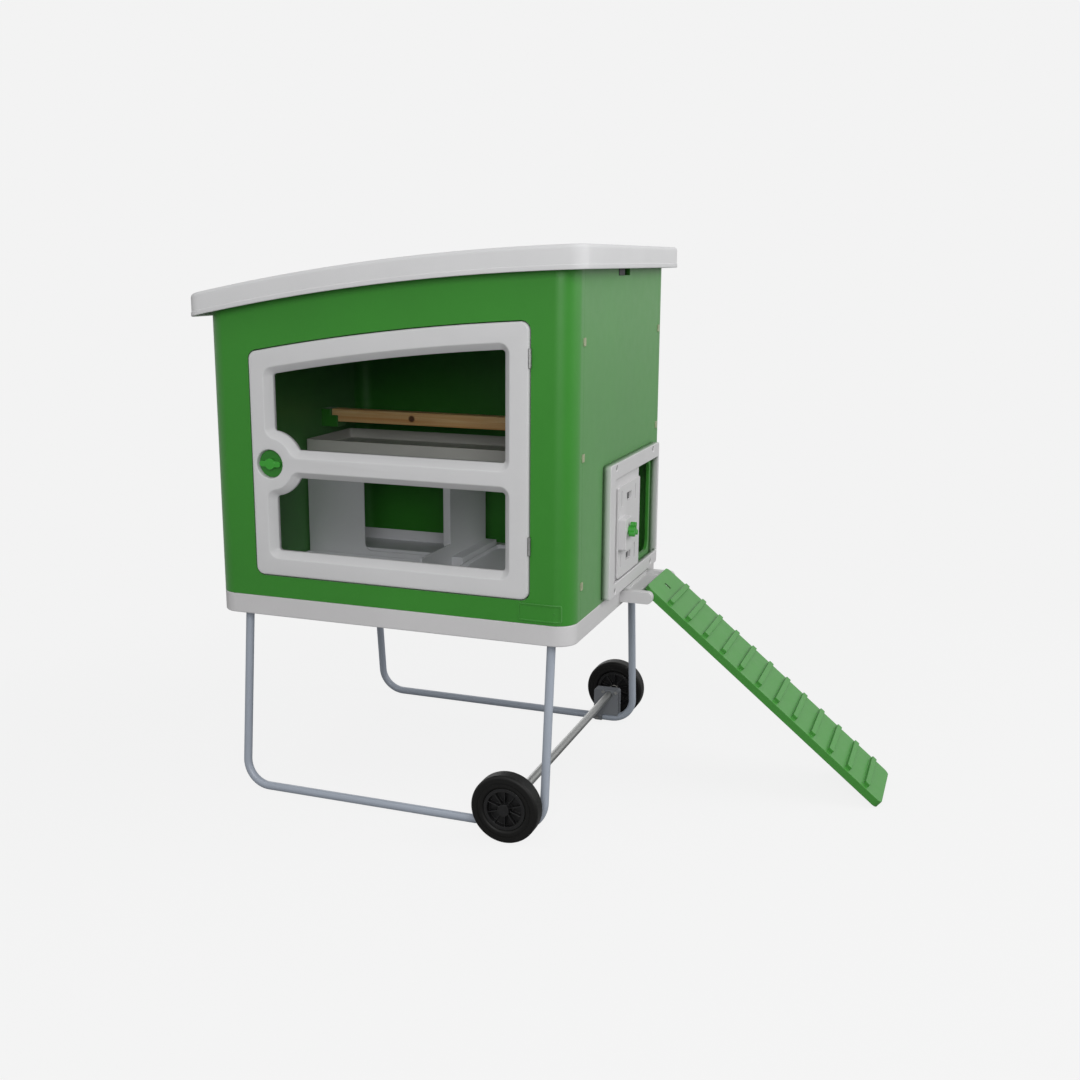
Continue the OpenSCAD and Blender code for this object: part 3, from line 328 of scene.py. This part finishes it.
def solid_piece(name, parts, material, body, nodes, sharp_deg=40):
    """Joins grids and fills into one closed mesh, merges their seams and turns its faces outwards.

    parts is a list of (points, faces); body is what it rides on and nodes what it stands for."""
    verts, faces, start = [], [], 0
    for points, part_faces in parts:
        points = np.asarray(points).reshape(-1, 3)
        verts.append(points)
        faces += [tuple(int(v) + start for v in f) for f in part_faces]
        start += len(points)
    mesh = bpy.data.meshes.new(name)
    mesh.from_pydata(np.concatenate(verts).tolist(), [], faces)
    shape = bmesh.new()
    shape.from_mesh(mesh)
    bmesh.ops.remove_doubles(shape, verts=shape.verts, dist=2e-6)
    bmesh.ops.dissolve_degenerate(shape, edges=shape.edges, dist=1e-7)
    bmesh.ops.recalc_face_normals(shape, faces=shape.faces)
    shape.to_mesh(mesh)
    shape.free()
    mesh.shade_smooth()
    mesh.set_sharp_from_angle(angle=math.radians(sharp_deg))
    mesh.materials.append(material)
    obj = bpy.data.objects.new(name, mesh)
    bpy.context.scene.collection.objects.link(obj)
    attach(obj, body)
    if nodes:
        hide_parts(*nodes)
    return obj


roof_lo, roof_hi = (np.array(c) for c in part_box("roof_lid"))
floor_z = base_hi[2]
arch_x, arch_z = mid_x + 0.816, floor_z - 5.753
roof_r, skirt_h, roof_t = 6.7815, 0.0645, 0.008
lip_h, lip_step, crown_r = 0.012, 0.0016, 0.011
lip_round, lip_slope, inner_foot = 0.003, 0.0015, 0.002
roof_half = (roof_hi - roof_lo)[:2] / 2
roof_mid = (roof_hi + roof_lo)[:2] / 2
roof_corner, least_corner, middle_slit = 0.045, 0.0003, 0.0005
quarter_turn = np.linspace(0, np.pi / 2, 7)
lip_turn = np.linspace(0, np.pi / 2, 4)
top_steps = np.linspace(0, 1, 12)[1:]
inner_reach = roof_half[1] - middle_slit
roof_profile = np.concatenate([
    np.stack([inner_reach + (roof_t - inner_reach) * np.linspace(0, 1, 6), np.full(6, -roof_t)], axis=1),
    [[roof_t, -skirt_h + inner_foot]],
    np.stack([lip_round - lip_round * np.sin(lip_turn),
              -skirt_h + lip_round - lip_round * np.cos(lip_turn)], axis=1),
    [[0.0, -skirt_h + lip_h], [lip_step, -skirt_h + lip_h + lip_slope]],
    np.stack([lip_step + crown_r * (1 - np.cos(quarter_turn)),
              -crown_r * (1 - np.sin(quarter_turn))], axis=1),
    np.stack([lip_step + crown_r + (inner_reach - lip_step - crown_r) * top_steps,
              np.zeros(len(top_steps))], axis=1)])


def arch_height(x, radius):
    """Height of the common arch of the given radius above x."""
    return arch_z + np.sqrt(radius ** 2 - (x - arch_x) ** 2)


roof_rows = []
for inset, drop in roof_profile:
    corner = max(roof_corner - inset, least_corner)
    ring = ring_of_plan(roof_half[0] - inset, roof_half[1] - inset, corner) + roof_mid
    roof_rows.append(np.column_stack([ring, arch_height(ring[:, 0], roof_r) + drop]))
roof_grid = np.array(roof_rows)
roof_grey = moulded_plastic("roof_grey", linear(214, 214, 215), 0.62, shine=0.25)
solid_piece("roof_moulding", [(roof_grid, skin_faces(*roof_grid.shape[:2]))], roof_grey,
            "roof", ["roof_lid"], sharp_deg=30)

# Roof catch: a black moulded plastic block with softly rounded edges.
# It is set in the notch at the head of the right wall, under the skirt of the lid.
catch_black = moulded_plastic("catch_black", linear(28, 28, 29), 0.5)
softened("roof_catch", 0.002, catch_black)


# Door: a grey moulded frame with a rounded rim and two bevelled windows that bend round the knob.
# It hangs on two steel hinges at its right edge, and its knob turns in a round recess.
def arcs_loop(arcs):
    """Points along arcs joined by straight stretches.

    An arc is (x, z, radius, from degrees, to degrees, steps)."""
    runs = []
    for x, z, r, a0, a1, steps in arcs:
        a = np.radians(np.linspace(a0, a1, steps + 1))
        runs.append(np.stack([x + r * np.cos(a), z + r * np.sin(a)], axis=1))
    return np.concatenate(runs)


def bearing(centre, point):
    """Direction in degrees from a centre to a point, from 0 to 360."""
    return math.degrees(math.atan2(point[1] - centre[1], point[0] - centre[0])) % 360


def arch_corner(x, radius, inset):
    """Centre of a corner arc that touches the common arch of the given radius from below."""
    return x, arch_z + math.sqrt((radius - inset) ** 2 - (x - arch_x) ** 2)


door_lo, door_hi = (np.array(c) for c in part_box("door_frame"))
door_left, door_right, door_sill = door_lo[0], door_hi[0], door_lo[2]
door_front, door_back = door_lo[1], door_hi[1]
door_top_r, door_corner, least_door_corner = 6.590, 0.025, 0.002
knob_lo, knob_hi = (np.array(c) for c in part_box("door_knob"))
knob_x, knob_z = (knob_lo[0] + knob_hi[0]) / 2, (knob_lo[2] + knob_hi[2]) / 2
arch_mid = (arch_x, arch_z)


def door_loop(inset):
    """The door's outline, moved in by inset: round corners and the arched head."""
    r = max(door_corner - inset, least_door_corner)
    top = door_top_r - inset
    x0, x1, z0 = door_left + inset, door_right - inset, door_sill + inset
    tr, tl = arch_corner(x1 - r, top, r), arch_corner(x0 + r, top, r)
    a_tr, a_tl = bearing(arch_mid, tr), bearing(arch_mid, tl)
    return arcs_loop([
        (x1 - r, z0 + r, r, -90, 0, 10), (*tr, r, 0, a_tr, 10), (*arch_mid, top, a_tr, a_tl, 40),
        (*tl, r, a_tl, 180, 10), (x0 + r, z0 + r, r, 180, 270, 10)])


pane_left, pane_right = mid_x - 0.354, mid_x + 0.361
upper_sill, upper_top_r = floor_z + 0.441, 6.517
lower_sill, lower_head = floor_z + 0.139, floor_z + 0.360
pane_corner, bend_corner, boss_r = 0.010, 0.012, 0.096
knob_mid = (knob_x, knob_z)


def side_bend(x0, sign):
    """Centre of the arc that joins the upright edge at x0 to the circle round the knob.

    sign is 1 above the knob and -1 below it."""
    x = x0 + bend_corner
    return x, knob_z + sign * math.sqrt((boss_r + bend_corner) ** 2 - (x - knob_x) ** 2)


def level_bend(z0, sign):
    """Centre of the arc that joins the level edge at z0 to the circle round the knob."""
    z = z0 + sign * bend_corner
    return knob_x + math.sqrt((boss_r + bend_corner) ** 2 - (z - knob_z) ** 2), z


def upper_loop(grow):
    """Outline of the upper window, grown by grow: every arc keeps its centre, so the loops stay parallel."""
    r, b, boss = pane_corner + grow, bend_corner + grow, boss_r - grow
    top = upper_top_r + grow
    tr = arch_corner(pane_right - pane_corner, upper_top_r, pane_corner)
    tl = arch_corner(pane_left + pane_corner, upper_top_r, pane_corner)
    f1, f2 = side_bend(pane_left, 1), level_bend(upper_sill, 1)
    a_tr, a_tl = bearing(arch_mid, tr), bearing(arch_mid, tl)
    return arcs_loop([
        (pane_right - pane_corner, upper_sill + pane_corner, r, -90, 0, 8), (*tr, r, 0, a_tr, 8),
        (*arch_mid, top, a_tr, a_tl, 36), (*tl, r, a_tl, 180, 8),
        (*f1, b, 180, bearing(f1, knob_mid), 8),
        (*knob_mid, boss, bearing(knob_mid, f1), bearing(knob_mid, f2), 16),
        (*f2, b, bearing(f2, knob_mid), 270, 8)])


def lower_loop(grow):
    """Outline of the lower window, grown by grow."""
    r, b, boss = pane_corner + grow, bend_corner + grow, boss_r - grow
    fa, fb = level_bend(lower_head, -1), side_bend(pane_left, -1)
    return arcs_loop([
        (pane_right - pane_corner, lower_sill + pane_corner, r, -90, 0, 8),
        (pane_right - pane_corner, lower_head - pane_corner, r, 0, 90, 8),
        (*fa, b, 90, bearing(fa, knob_mid), 8),
        (*knob_mid, boss, bearing(knob_mid, fa), bearing(knob_mid, fb), 16),
        (*fb, b, bearing(fb, knob_mid), 180, 8),
        (pane_left + pane_corner, lower_sill + pane_corner, r, 180, 270, 8)])


def carried(loop_at, profile):
    """A grid: the loop at each offset of the profile, at that profile point's depth along Y."""
    rows = []
    for offset, depth in profile:
        loop = loop_at(offset)
        rows.append(np.column_stack([loop[:, 0], np.full(len(loop), depth), loop[:, 1]]))
    grid = np.array(rows)
    return grid, skin_faces(*grid.shape[:2])


def flat_between(loops, depth):
    """A flat face across the first loop with the other loops cut out of it, at one depth."""
    rings = [[Vector((x, z, 0)) for x, z in loop] for loop in loops]
    points = np.concatenate(loops)
    points = np.column_stack([points[:, 0], np.full(len(points), depth), points[:, 1]])
    return points, tessellate_polygon(rings)


bevel_d, bevel_w, rebate = 0.026, 0.020, 0.0083
glass_y = door_front + bevel_d
rim_r, brow_r, back_edge = 0.007, 0.006, 0.002
seat_h, foot_h, foot_w = 0.0025, 0.0045, 0.0012
rim_turn = np.linspace(0, np.pi / 2, 8)
slope = math.atan2(bevel_d, bevel_w)
rim_profile = np.concatenate([
    [[back_edge, door_back], [0.0, door_back - back_edge]],
    np.stack([rim_r * (1 - np.cos(rim_turn)), door_front + rim_r * (1 - np.sin(rim_turn))], axis=1)])
brow_len = brow_r * math.tan(slope / 2)
brow_turn = np.linspace(0, slope, 7)
brow_x = bevel_w + brow_len - brow_r * np.sin(brow_turn)
brow_y = door_front + brow_r * (1 - np.cos(brow_turn))
window_profile = np.concatenate([
    [[rebate, door_back], [rebate, glass_y], [0.0, glass_y]],
    [[0.0, glass_y - seat_h], [foot_w, glass_y - foot_h]],
    np.stack([brow_x[::-1], brow_y[::-1]], axis=1)])
recess_r, recess_d, spindle_hole, recess_sides = 0.042, 0.020, 0.0062, 64


def recess_loop(radius):
    """Circle round the knob, of recess_sides points."""
    last = recess_sides - 1
    return arcs_loop([(knob_x, knob_z, radius, 0, 360 * last / recess_sides, last)])


recess_turn = np.linspace(0, np.pi / 2, 6)
recess_edge = 0.004
recess_profile = np.concatenate([
    [[spindle_hole, door_front + recess_d], [recess_r, door_front + recess_d]],
    np.stack([recess_r + recess_edge * (1 - np.cos(recess_turn)),
              door_front + recess_edge * (1 - np.sin(recess_turn))], axis=1)])
spindle_profile = [[spindle_hole, door_front + recess_d], [spindle_hole, door_back]]
door_parts = [
    carried(door_loop, rim_profile),
    carried(upper_loop, window_profile),
    carried(lower_loop, window_profile),
    carried(recess_loop, recess_profile),
    carried(recess_loop, spindle_profile),
    flat_between([door_loop(rim_r), upper_loop(brow_x[0]), lower_loop(brow_x[0]),
                  recess_loop(recess_r + recess_edge)], door_front),
    flat_between([door_loop(back_edge), upper_loop(rebate), lower_loop(rebate),
                  recess_loop(spindle_hole)], door_back)]
door_grey = moulded_plastic("door_grey", linear(208, 208, 209), 0.48)
solid_piece("door_moulding", door_parts, door_grey, "door", ["door_frame"])

# Glazing: two panes of tinted acrylic, cut from sheet and set in rebates behind the bevels.
# Grey moulded beads hold them from the back.
tint = bpy.data.materials.new("tinted_acrylic")
tint.use_nodes = True
tint_nodes, tint_links = tint.node_tree.nodes, tint.node_tree.links
tint_skin = tint_nodes["Principled BSDF"]
tint_skin.inputs["Base Color"].default_value = (0.002, 0.004, 0.003, 1)
tint_skin.inputs["IOR"].default_value = 1.49
tint_skin.inputs["Specular IOR Level"].default_value = 0.18
tint_coords = tint_nodes.new("ShaderNodeTexCoord")
tint_haze = tint_nodes.new("ShaderNodeTexNoise")
tint_haze.inputs["Scale"].default_value = 7.0
tint_haze.inputs["Detail"].default_value = 6.0
tint_gloss = tint_nodes.new("ShaderNodeMapRange")
tint_gloss.inputs["To Min"].default_value = 0.02
tint_gloss.inputs["To Max"].default_value = 0.07
tint_clear = tint_nodes.new("ShaderNodeMapRange")
tint_clear.inputs["To Min"].default_value = 0.09
tint_clear.inputs["To Max"].default_value = 0.14
tint_links.new(tint_coords.outputs["Object"], tint_haze.inputs["Vector"])
tint_links.new(tint_haze.outputs["Fac"], tint_gloss.inputs["Value"])
tint_links.new(tint_haze.outputs["Fac"], tint_clear.inputs["Value"])
tint_links.new(tint_gloss.outputs["Result"], tint_skin.inputs["Roughness"])
tint_links.new(tint_clear.outputs["Result"], tint_skin.inputs["Alpha"])
for pane in ("upper_window", "lower_window"):
    finish_node(pane, tint)
finish_node("window_beads", door_grey)

# Door knob: a green moulded disc with a wing handle on a spindle. Its colour darkens with depth in the dish:
# painted shade.
# The black tongue on the spindle's inner end turns behind the jamb.
knob_green = moulded_plastic("knob_green", linear(52, 150, 46), 0.36)
knob_green_painted_shade = moulded_plastic("knob_green_painted_shade", linear(58, 154, 50), 0.36)
knob_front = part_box("door_knob")[0][1]
dish_nodes, dish_links = knob_green_painted_shade.node_tree.nodes, knob_green_painted_shade.node_tree.links
dish_coords = dish_nodes.new("ShaderNodeTexCoord")
dish_split = dish_nodes.new("ShaderNodeSeparateXYZ")
shade_from, shade_to = 0.003, 0.012
# Painted shade: towards the floor of the dish the green is multiplied down to 0.6, standing in for the shade
# there.
painted_dish_shade = dish_nodes.new("ShaderNodeMapRange")
painted_dish_shade.inputs["From Min"].default_value = knob_front + shade_from
painted_dish_shade.inputs["From Max"].default_value = knob_front + shade_to
painted_dish_shade.inputs["To Min"].default_value = 1.0
painted_dish_shade.inputs["To Max"].default_value = 0.6
green_under_painted_shade = dish_nodes.new("ShaderNodeMix")
green_under_painted_shade.data_type = "RGBA"
green_under_painted_shade.blend_type = "MULTIPLY"
green_under_painted_shade.inputs[0].default_value = 1.0
dish_colour = dish_nodes["Principled BSDF"].inputs["Base Color"]
even_green = dish_colour.links[0].from_socket
dish_links.new(dish_coords.outputs["Object"], dish_split.inputs["Vector"])
dish_links.new(dish_split.outputs["Y"], painted_dish_shade.inputs["Value"])
dish_links.new(even_green, green_under_painted_shade.inputs[6])
dish_links.new(painted_dish_shade.outputs["Result"], green_under_painted_shade.inputs[7])
dish_links.new(green_under_painted_shade.outputs[2], dish_colour)
softened("door_knob", 0.0007, knob_green_painted_shade)
softened("latch_tongue", 0.001, catch_black, steps=2)


# Hinges, screws, bolts, pins and the axle: zinc-plated steel, pressed or turned.
# They hold the door, the frame of the hens' hole, the ramp, the legs and the wheels.
def plated_steel(name, colour, rough):
    """Zinc plate: bright metal whose colour, gloss and skin follow one fine noise, the spangle."""
    mat = bpy.data.materials.new(name)
    mat.use_nodes = True
    n, l = mat.node_tree.nodes, mat.node_tree.links
    skin = n["Principled BSDF"]
    skin.inputs["Metallic"].default_value = 1.0
    coords = n.new("ShaderNodeTexCoord")
    spangle = n.new("ShaderNodeTexNoise")
    spangle.inputs["Scale"].default_value = 160.0
    spangle.inputs["Detail"].default_value = 6.0
    blend = n.new("ShaderNodeMix")
    blend.data_type = "RGBA"
    blend.inputs[6].default_value = (*[v * 0.8 for v in colour[:3]], 1)
    blend.inputs[7].default_value = (*[min(1.0, v * 1.15) for v in colour[:3]], 1)
    gloss = n.new("ShaderNodeMapRange")
    gloss.inputs["To Min"].default_value = rough - 0.08
    gloss.inputs["To Max"].default_value = rough + 0.1
    bump = n.new("ShaderNodeBump")
    bump.inputs["Strength"].default_value = 0.05
    bump.inputs["Distance"].default_value = 0.00003
    l.new(coords.outputs["Object"], spangle.inputs["Vector"])
    l.new(spangle.outputs["Fac"], blend.inputs[0])
    l.new(blend.outputs[2], skin.inputs["Base Color"])
    l.new(spangle.outputs["Fac"], gloss.inputs["Value"])
    l.new(gloss.outputs["Result"], skin.inputs["Roughness"])
    l.new(spangle.outputs["Fac"], bump.inputs["Height"])
    l.new(bump.outputs["Normal"], skin.inputs["Normal"])
    return mat


zinc = plated_steel("zinc_plate", linear(164, 165, 164), 0.38)
for fastener in ("frame_hinge_leaves", "door_hinge_leaves", "hinge_pins", "pop_frame_screws",
                 "ramp_bracket_screws", "ramp_pin", "leg_bolts", "bracket_bolts", "axle"):
    finish_node(fastener, zinc)

# Pop door: a grey frame screwed round the hens' hole, and a sliding door in its grooves.
# A green three-lobed knob on the sliding door locks it.
pop_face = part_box("pop_frame")[1][0]
face_slack, sheet_slack = 0.001, 0.004
softened("pop_frame", 0.002, shell_grey,
         where=lambda middle: middle.x > pop_face - face_slack)
pop_sheet_t = 0.0134
pop_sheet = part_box("pop_door")[0][0] + pop_sheet_t
softened("pop_door", 0.0008, shell_grey, steps=2,
         where=lambda middle: middle.x > pop_sheet + sheet_slack)
softened("pop_knob", 0.0007, knob_green)

# Vent louvres: moulded plastic slats, five to a vent, with a saw-toothed front, coloured a darker grey than
# the door.
# They are pressed into the two vent pockets of the sliding door and ride with it.
pop_lo, pop_hi = (np.array(c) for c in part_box("pop_door"))
vent_y = pop_lo[1] + np.array([0.133, 0.185])
vent_foot = (pop_lo[2] + pop_hi[2]) / 2 + np.array([-0.112, 0.072])
vent_h, pocket_floor = 0.024, pop_sheet - 0.0057
slat_n, slat_out, slat_web, slat_lean = 5, 0.005, 0.0015, 0.15
saw = np.array([[k, out] for k in range(slat_n) for out in (0.0, 1.0)] + [[slat_n, 0.0]])
louvre_parts = []
for foot in vent_foot:
    rise = foot + vent_h * (saw[:, 0] + slat_lean * saw[:, 1]) / slat_n
    front = pocket_floor + slat_web + slat_out * saw[:, 1]
    rear = np.full(len(saw), pocket_floor)
    louvre_ring = np.concatenate([np.stack([front, rise], axis=1),
                                  np.stack([rear, rise], axis=1)[::-1]])
    ring_n = len(louvre_ring)
    louvre = np.array([np.column_stack([louvre_ring[:, 0], np.full(ring_n, y), louvre_ring[:, 1]])
                       for y in vent_y])
    ends = [tuple(range(ring_n)), tuple(range(2 * ring_n - 1, ring_n - 1, -1))]
    louvre_parts.append((louvre, [*skin_faces(2, ring_n), *ends]))
vent_dark = moulded_plastic("vent_dark", linear(92, 93, 94), 0.5)
solid_piece("vent_louvres", louvre_parts, vent_dark, "sliding_pop_door", None)

# Ramp: a green moulded plastic board with side skirts and rounded foot cleats.
# It turns on a steel pin held by the arms of a grey bracket, which is screwed to the base.
softened("ramp_bracket", 0.0012, shell_grey)
ramp_green = moulded_plastic("ramp_green", linear(62, 140, 50), 0.42, mottle=0.08)
pin_lo, pin_hi = (np.array(c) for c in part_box("ramp_pin"))
pin_x, pin_z = (pin_lo + pin_hi)[[0, 2]] / 2
ear_reach = 0.045
softened("ramp", 0.0015, ramp_green,
         where=lambda middle: math.hypot(middle.x - pin_x, middle.z - pin_z) > ear_reach)


# Perch: a square bar of planed pine with rounded edges.
# It drops into two green moulded cradles and lifts out for cleaning.
def pine(name, knot_at):
    """Planed pine: growth rings cut lengthways give long wavy bands, with a few dark knots.

    knot_at is the middle of the largest knot, a ball that the planed face cuts as a round."""
    mat = bpy.data.materials.new(name)
    mat.use_nodes = True
    n, l = mat.node_tree.nodes, mat.node_tree.links
    skin = n["Principled BSDF"]
    skin.inputs["Roughness"].default_value = 0.62
    coords = n.new("ShaderNodeTexCoord")
    stretch = n.new("ShaderNodeMapping")
    stretch.inputs["Scale"].default_value = (1.1, 26.0, 34.0)
    rings = n.new("ShaderNodeTexNoise")
    rings.inputs["Scale"].default_value = 2.2
    rings.inputs["Detail"].default_value = 7.0
    rings.inputs["Distortion"].default_value = 0.7
    tones = n.new("ShaderNodeValToRGB")
    tones.color_ramp.elements[0].position = 0.32
    tones.color_ramp.elements[0].color = linear(226, 166, 102)
    tones.color_ramp.elements[1].position = 0.68
    tones.color_ramp.elements[1].color = linear(252, 216, 158)
    knots = n.new("ShaderNodeTexVoronoi")
    knots.inputs["Scale"].default_value = 3.1
    knot_edge = n.new("ShaderNodeMapRange")
    knot_edge.inputs["From Min"].default_value = 0.05
    knot_edge.inputs["From Max"].default_value = 0.10
    knot_away = n.new("ShaderNodeVectorMath")
    knot_away.operation = "DISTANCE"
    knot_away.inputs[1].default_value = knot_at
    knot_rim = n.new("ShaderNodeMapRange")
    knot_rim.inputs["From Min"].default_value = 0.009
    knot_rim.inputs["From Max"].default_value = 0.014
    any_knot = n.new("ShaderNodeMath")
    any_knot.operation = "MINIMUM"
    blend = n.new("ShaderNodeMix")
    blend.data_type = "RGBA"
    blend.inputs[6].default_value = linear(96, 56, 28)
    bump = n.new("ShaderNodeBump")
    bump.inputs["Strength"].default_value = 0.25
    bump.inputs["Distance"].default_value = 0.0004
    l.new(coords.outputs["Object"], stretch.inputs["Vector"])
    l.new(coords.outputs["Object"], knots.inputs["Vector"])
    l.new(stretch.outputs["Vector"], rings.inputs["Vector"])
    l.new(rings.outputs["Fac"], tones.inputs["Fac"])
    l.new(knots.outputs["Distance"], knot_edge.inputs["Value"])
    l.new(coords.outputs["Object"], knot_away.inputs[0])
    l.new(knot_away.outputs["Value"], knot_rim.inputs["Value"])
    l.new(knot_edge.outputs["Result"], any_knot.inputs[0])
    l.new(knot_rim.outputs["Result"], any_knot.inputs[1])
    l.new(any_knot.outputs[0], blend.inputs[0])
    l.new(tones.outputs["Color"], blend.inputs[7])
    l.new(blend.outputs[2], skin.inputs["Base Color"])
    l.new(rings.outputs["Fac"], bump.inputs["Height"])
    l.new(bump.outputs["Normal"], skin.inputs["Normal"])
    return mat


perch_lo, perch_hi = (np.array(c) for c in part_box("perch"))
knot_left, knot_in = 0.217, 0.004
front_knot = (mid_x - knot_left, perch_lo[1] + knot_in, (perch_lo[2] + perch_hi[2]) / 2)
softened("perch", 0.003, pine("planed_pine", front_knot))
softened("perch_cradles", 0.003, wall_green)

# Inside: a grey nest box with its tray, a droppings tray on top of it, and two floor trays.
# All are moulded plastic. The trays stand loose and lift out; the box and the brackets stay in place.
inside_grey = moulded_plastic("inside_grey", linear(224, 225, 229), 0.5)
tray_grey = moulded_plastic("tray_grey", linear(196, 195, 190), 0.55)
softened("droppings_tray", 0.0012, tray_grey)
for fitting, edge in (("tray_brackets", 0.002), ("nest_box", 0.002), ("nest_tray", 0.0012),
                      ("floor_tray_left", 0.0012), ("floor_tray_right", 0.0012)):
    softened(fitting, edge, inside_grey)


# Stand: two bent steel tubes, powder coated, pushed into the base and bolted there.
# Pressed brackets on the ground runs carry the axle.
def powder_coat(name, colour, rough):
    """Powder coat on steel: a fine orange-peel skin over an even colour."""
    return moulded_plastic(name, colour, rough, mottle=0.05, grain=0.0002, grain_size=420)


leg_coat = powder_coat("leg_coat", linear(164, 172, 184), 0.36)
for tube in ("front_leg_frame", "rear_leg_frame"):
    finish_node(tube, leg_coat)
bracket_coat = powder_coat("bracket_coat", linear(118, 121, 126), 0.4)
for bracket in ("front_axle_bracket", "rear_axle_bracket"):
    softened(bracket, 0.0006, bracket_coat, steps=2, turn_deg=50)

# Wheels: solid black rubber tyres on black moulded centres with thin fins.
# They turn on nylon bushes, between black spacers and the caps pressed into the axle's ends.
rubber = moulded_plastic("tyre_rubber", linear(13, 13, 12), 0.5, mottle=0.2, grain=0.0003, grain_size=700,
                         shine=0.22)
hub_black = moulded_plastic("hub_black", linear(18, 18, 19), 0.36, shine=0.4)
nylon = moulded_plastic("bush_nylon", linear(216, 214, 204), 0.5)
for tyre in ("front_tyre", "rear_tyre"):
    finish_node(tyre, rubber)
for hub in ("front_wheel_hub", "rear_wheel_hub"):
    softened(hub, 0.0008, hub_black, steps=2)
for cap in ("axle_caps", "axle_spacers"):
    softened(cap, 0.0006, hub_black, steps=2)
for bush in ("front_wheel_bush", "rear_wheel_bush"):
    finish_node(bush, nylon)
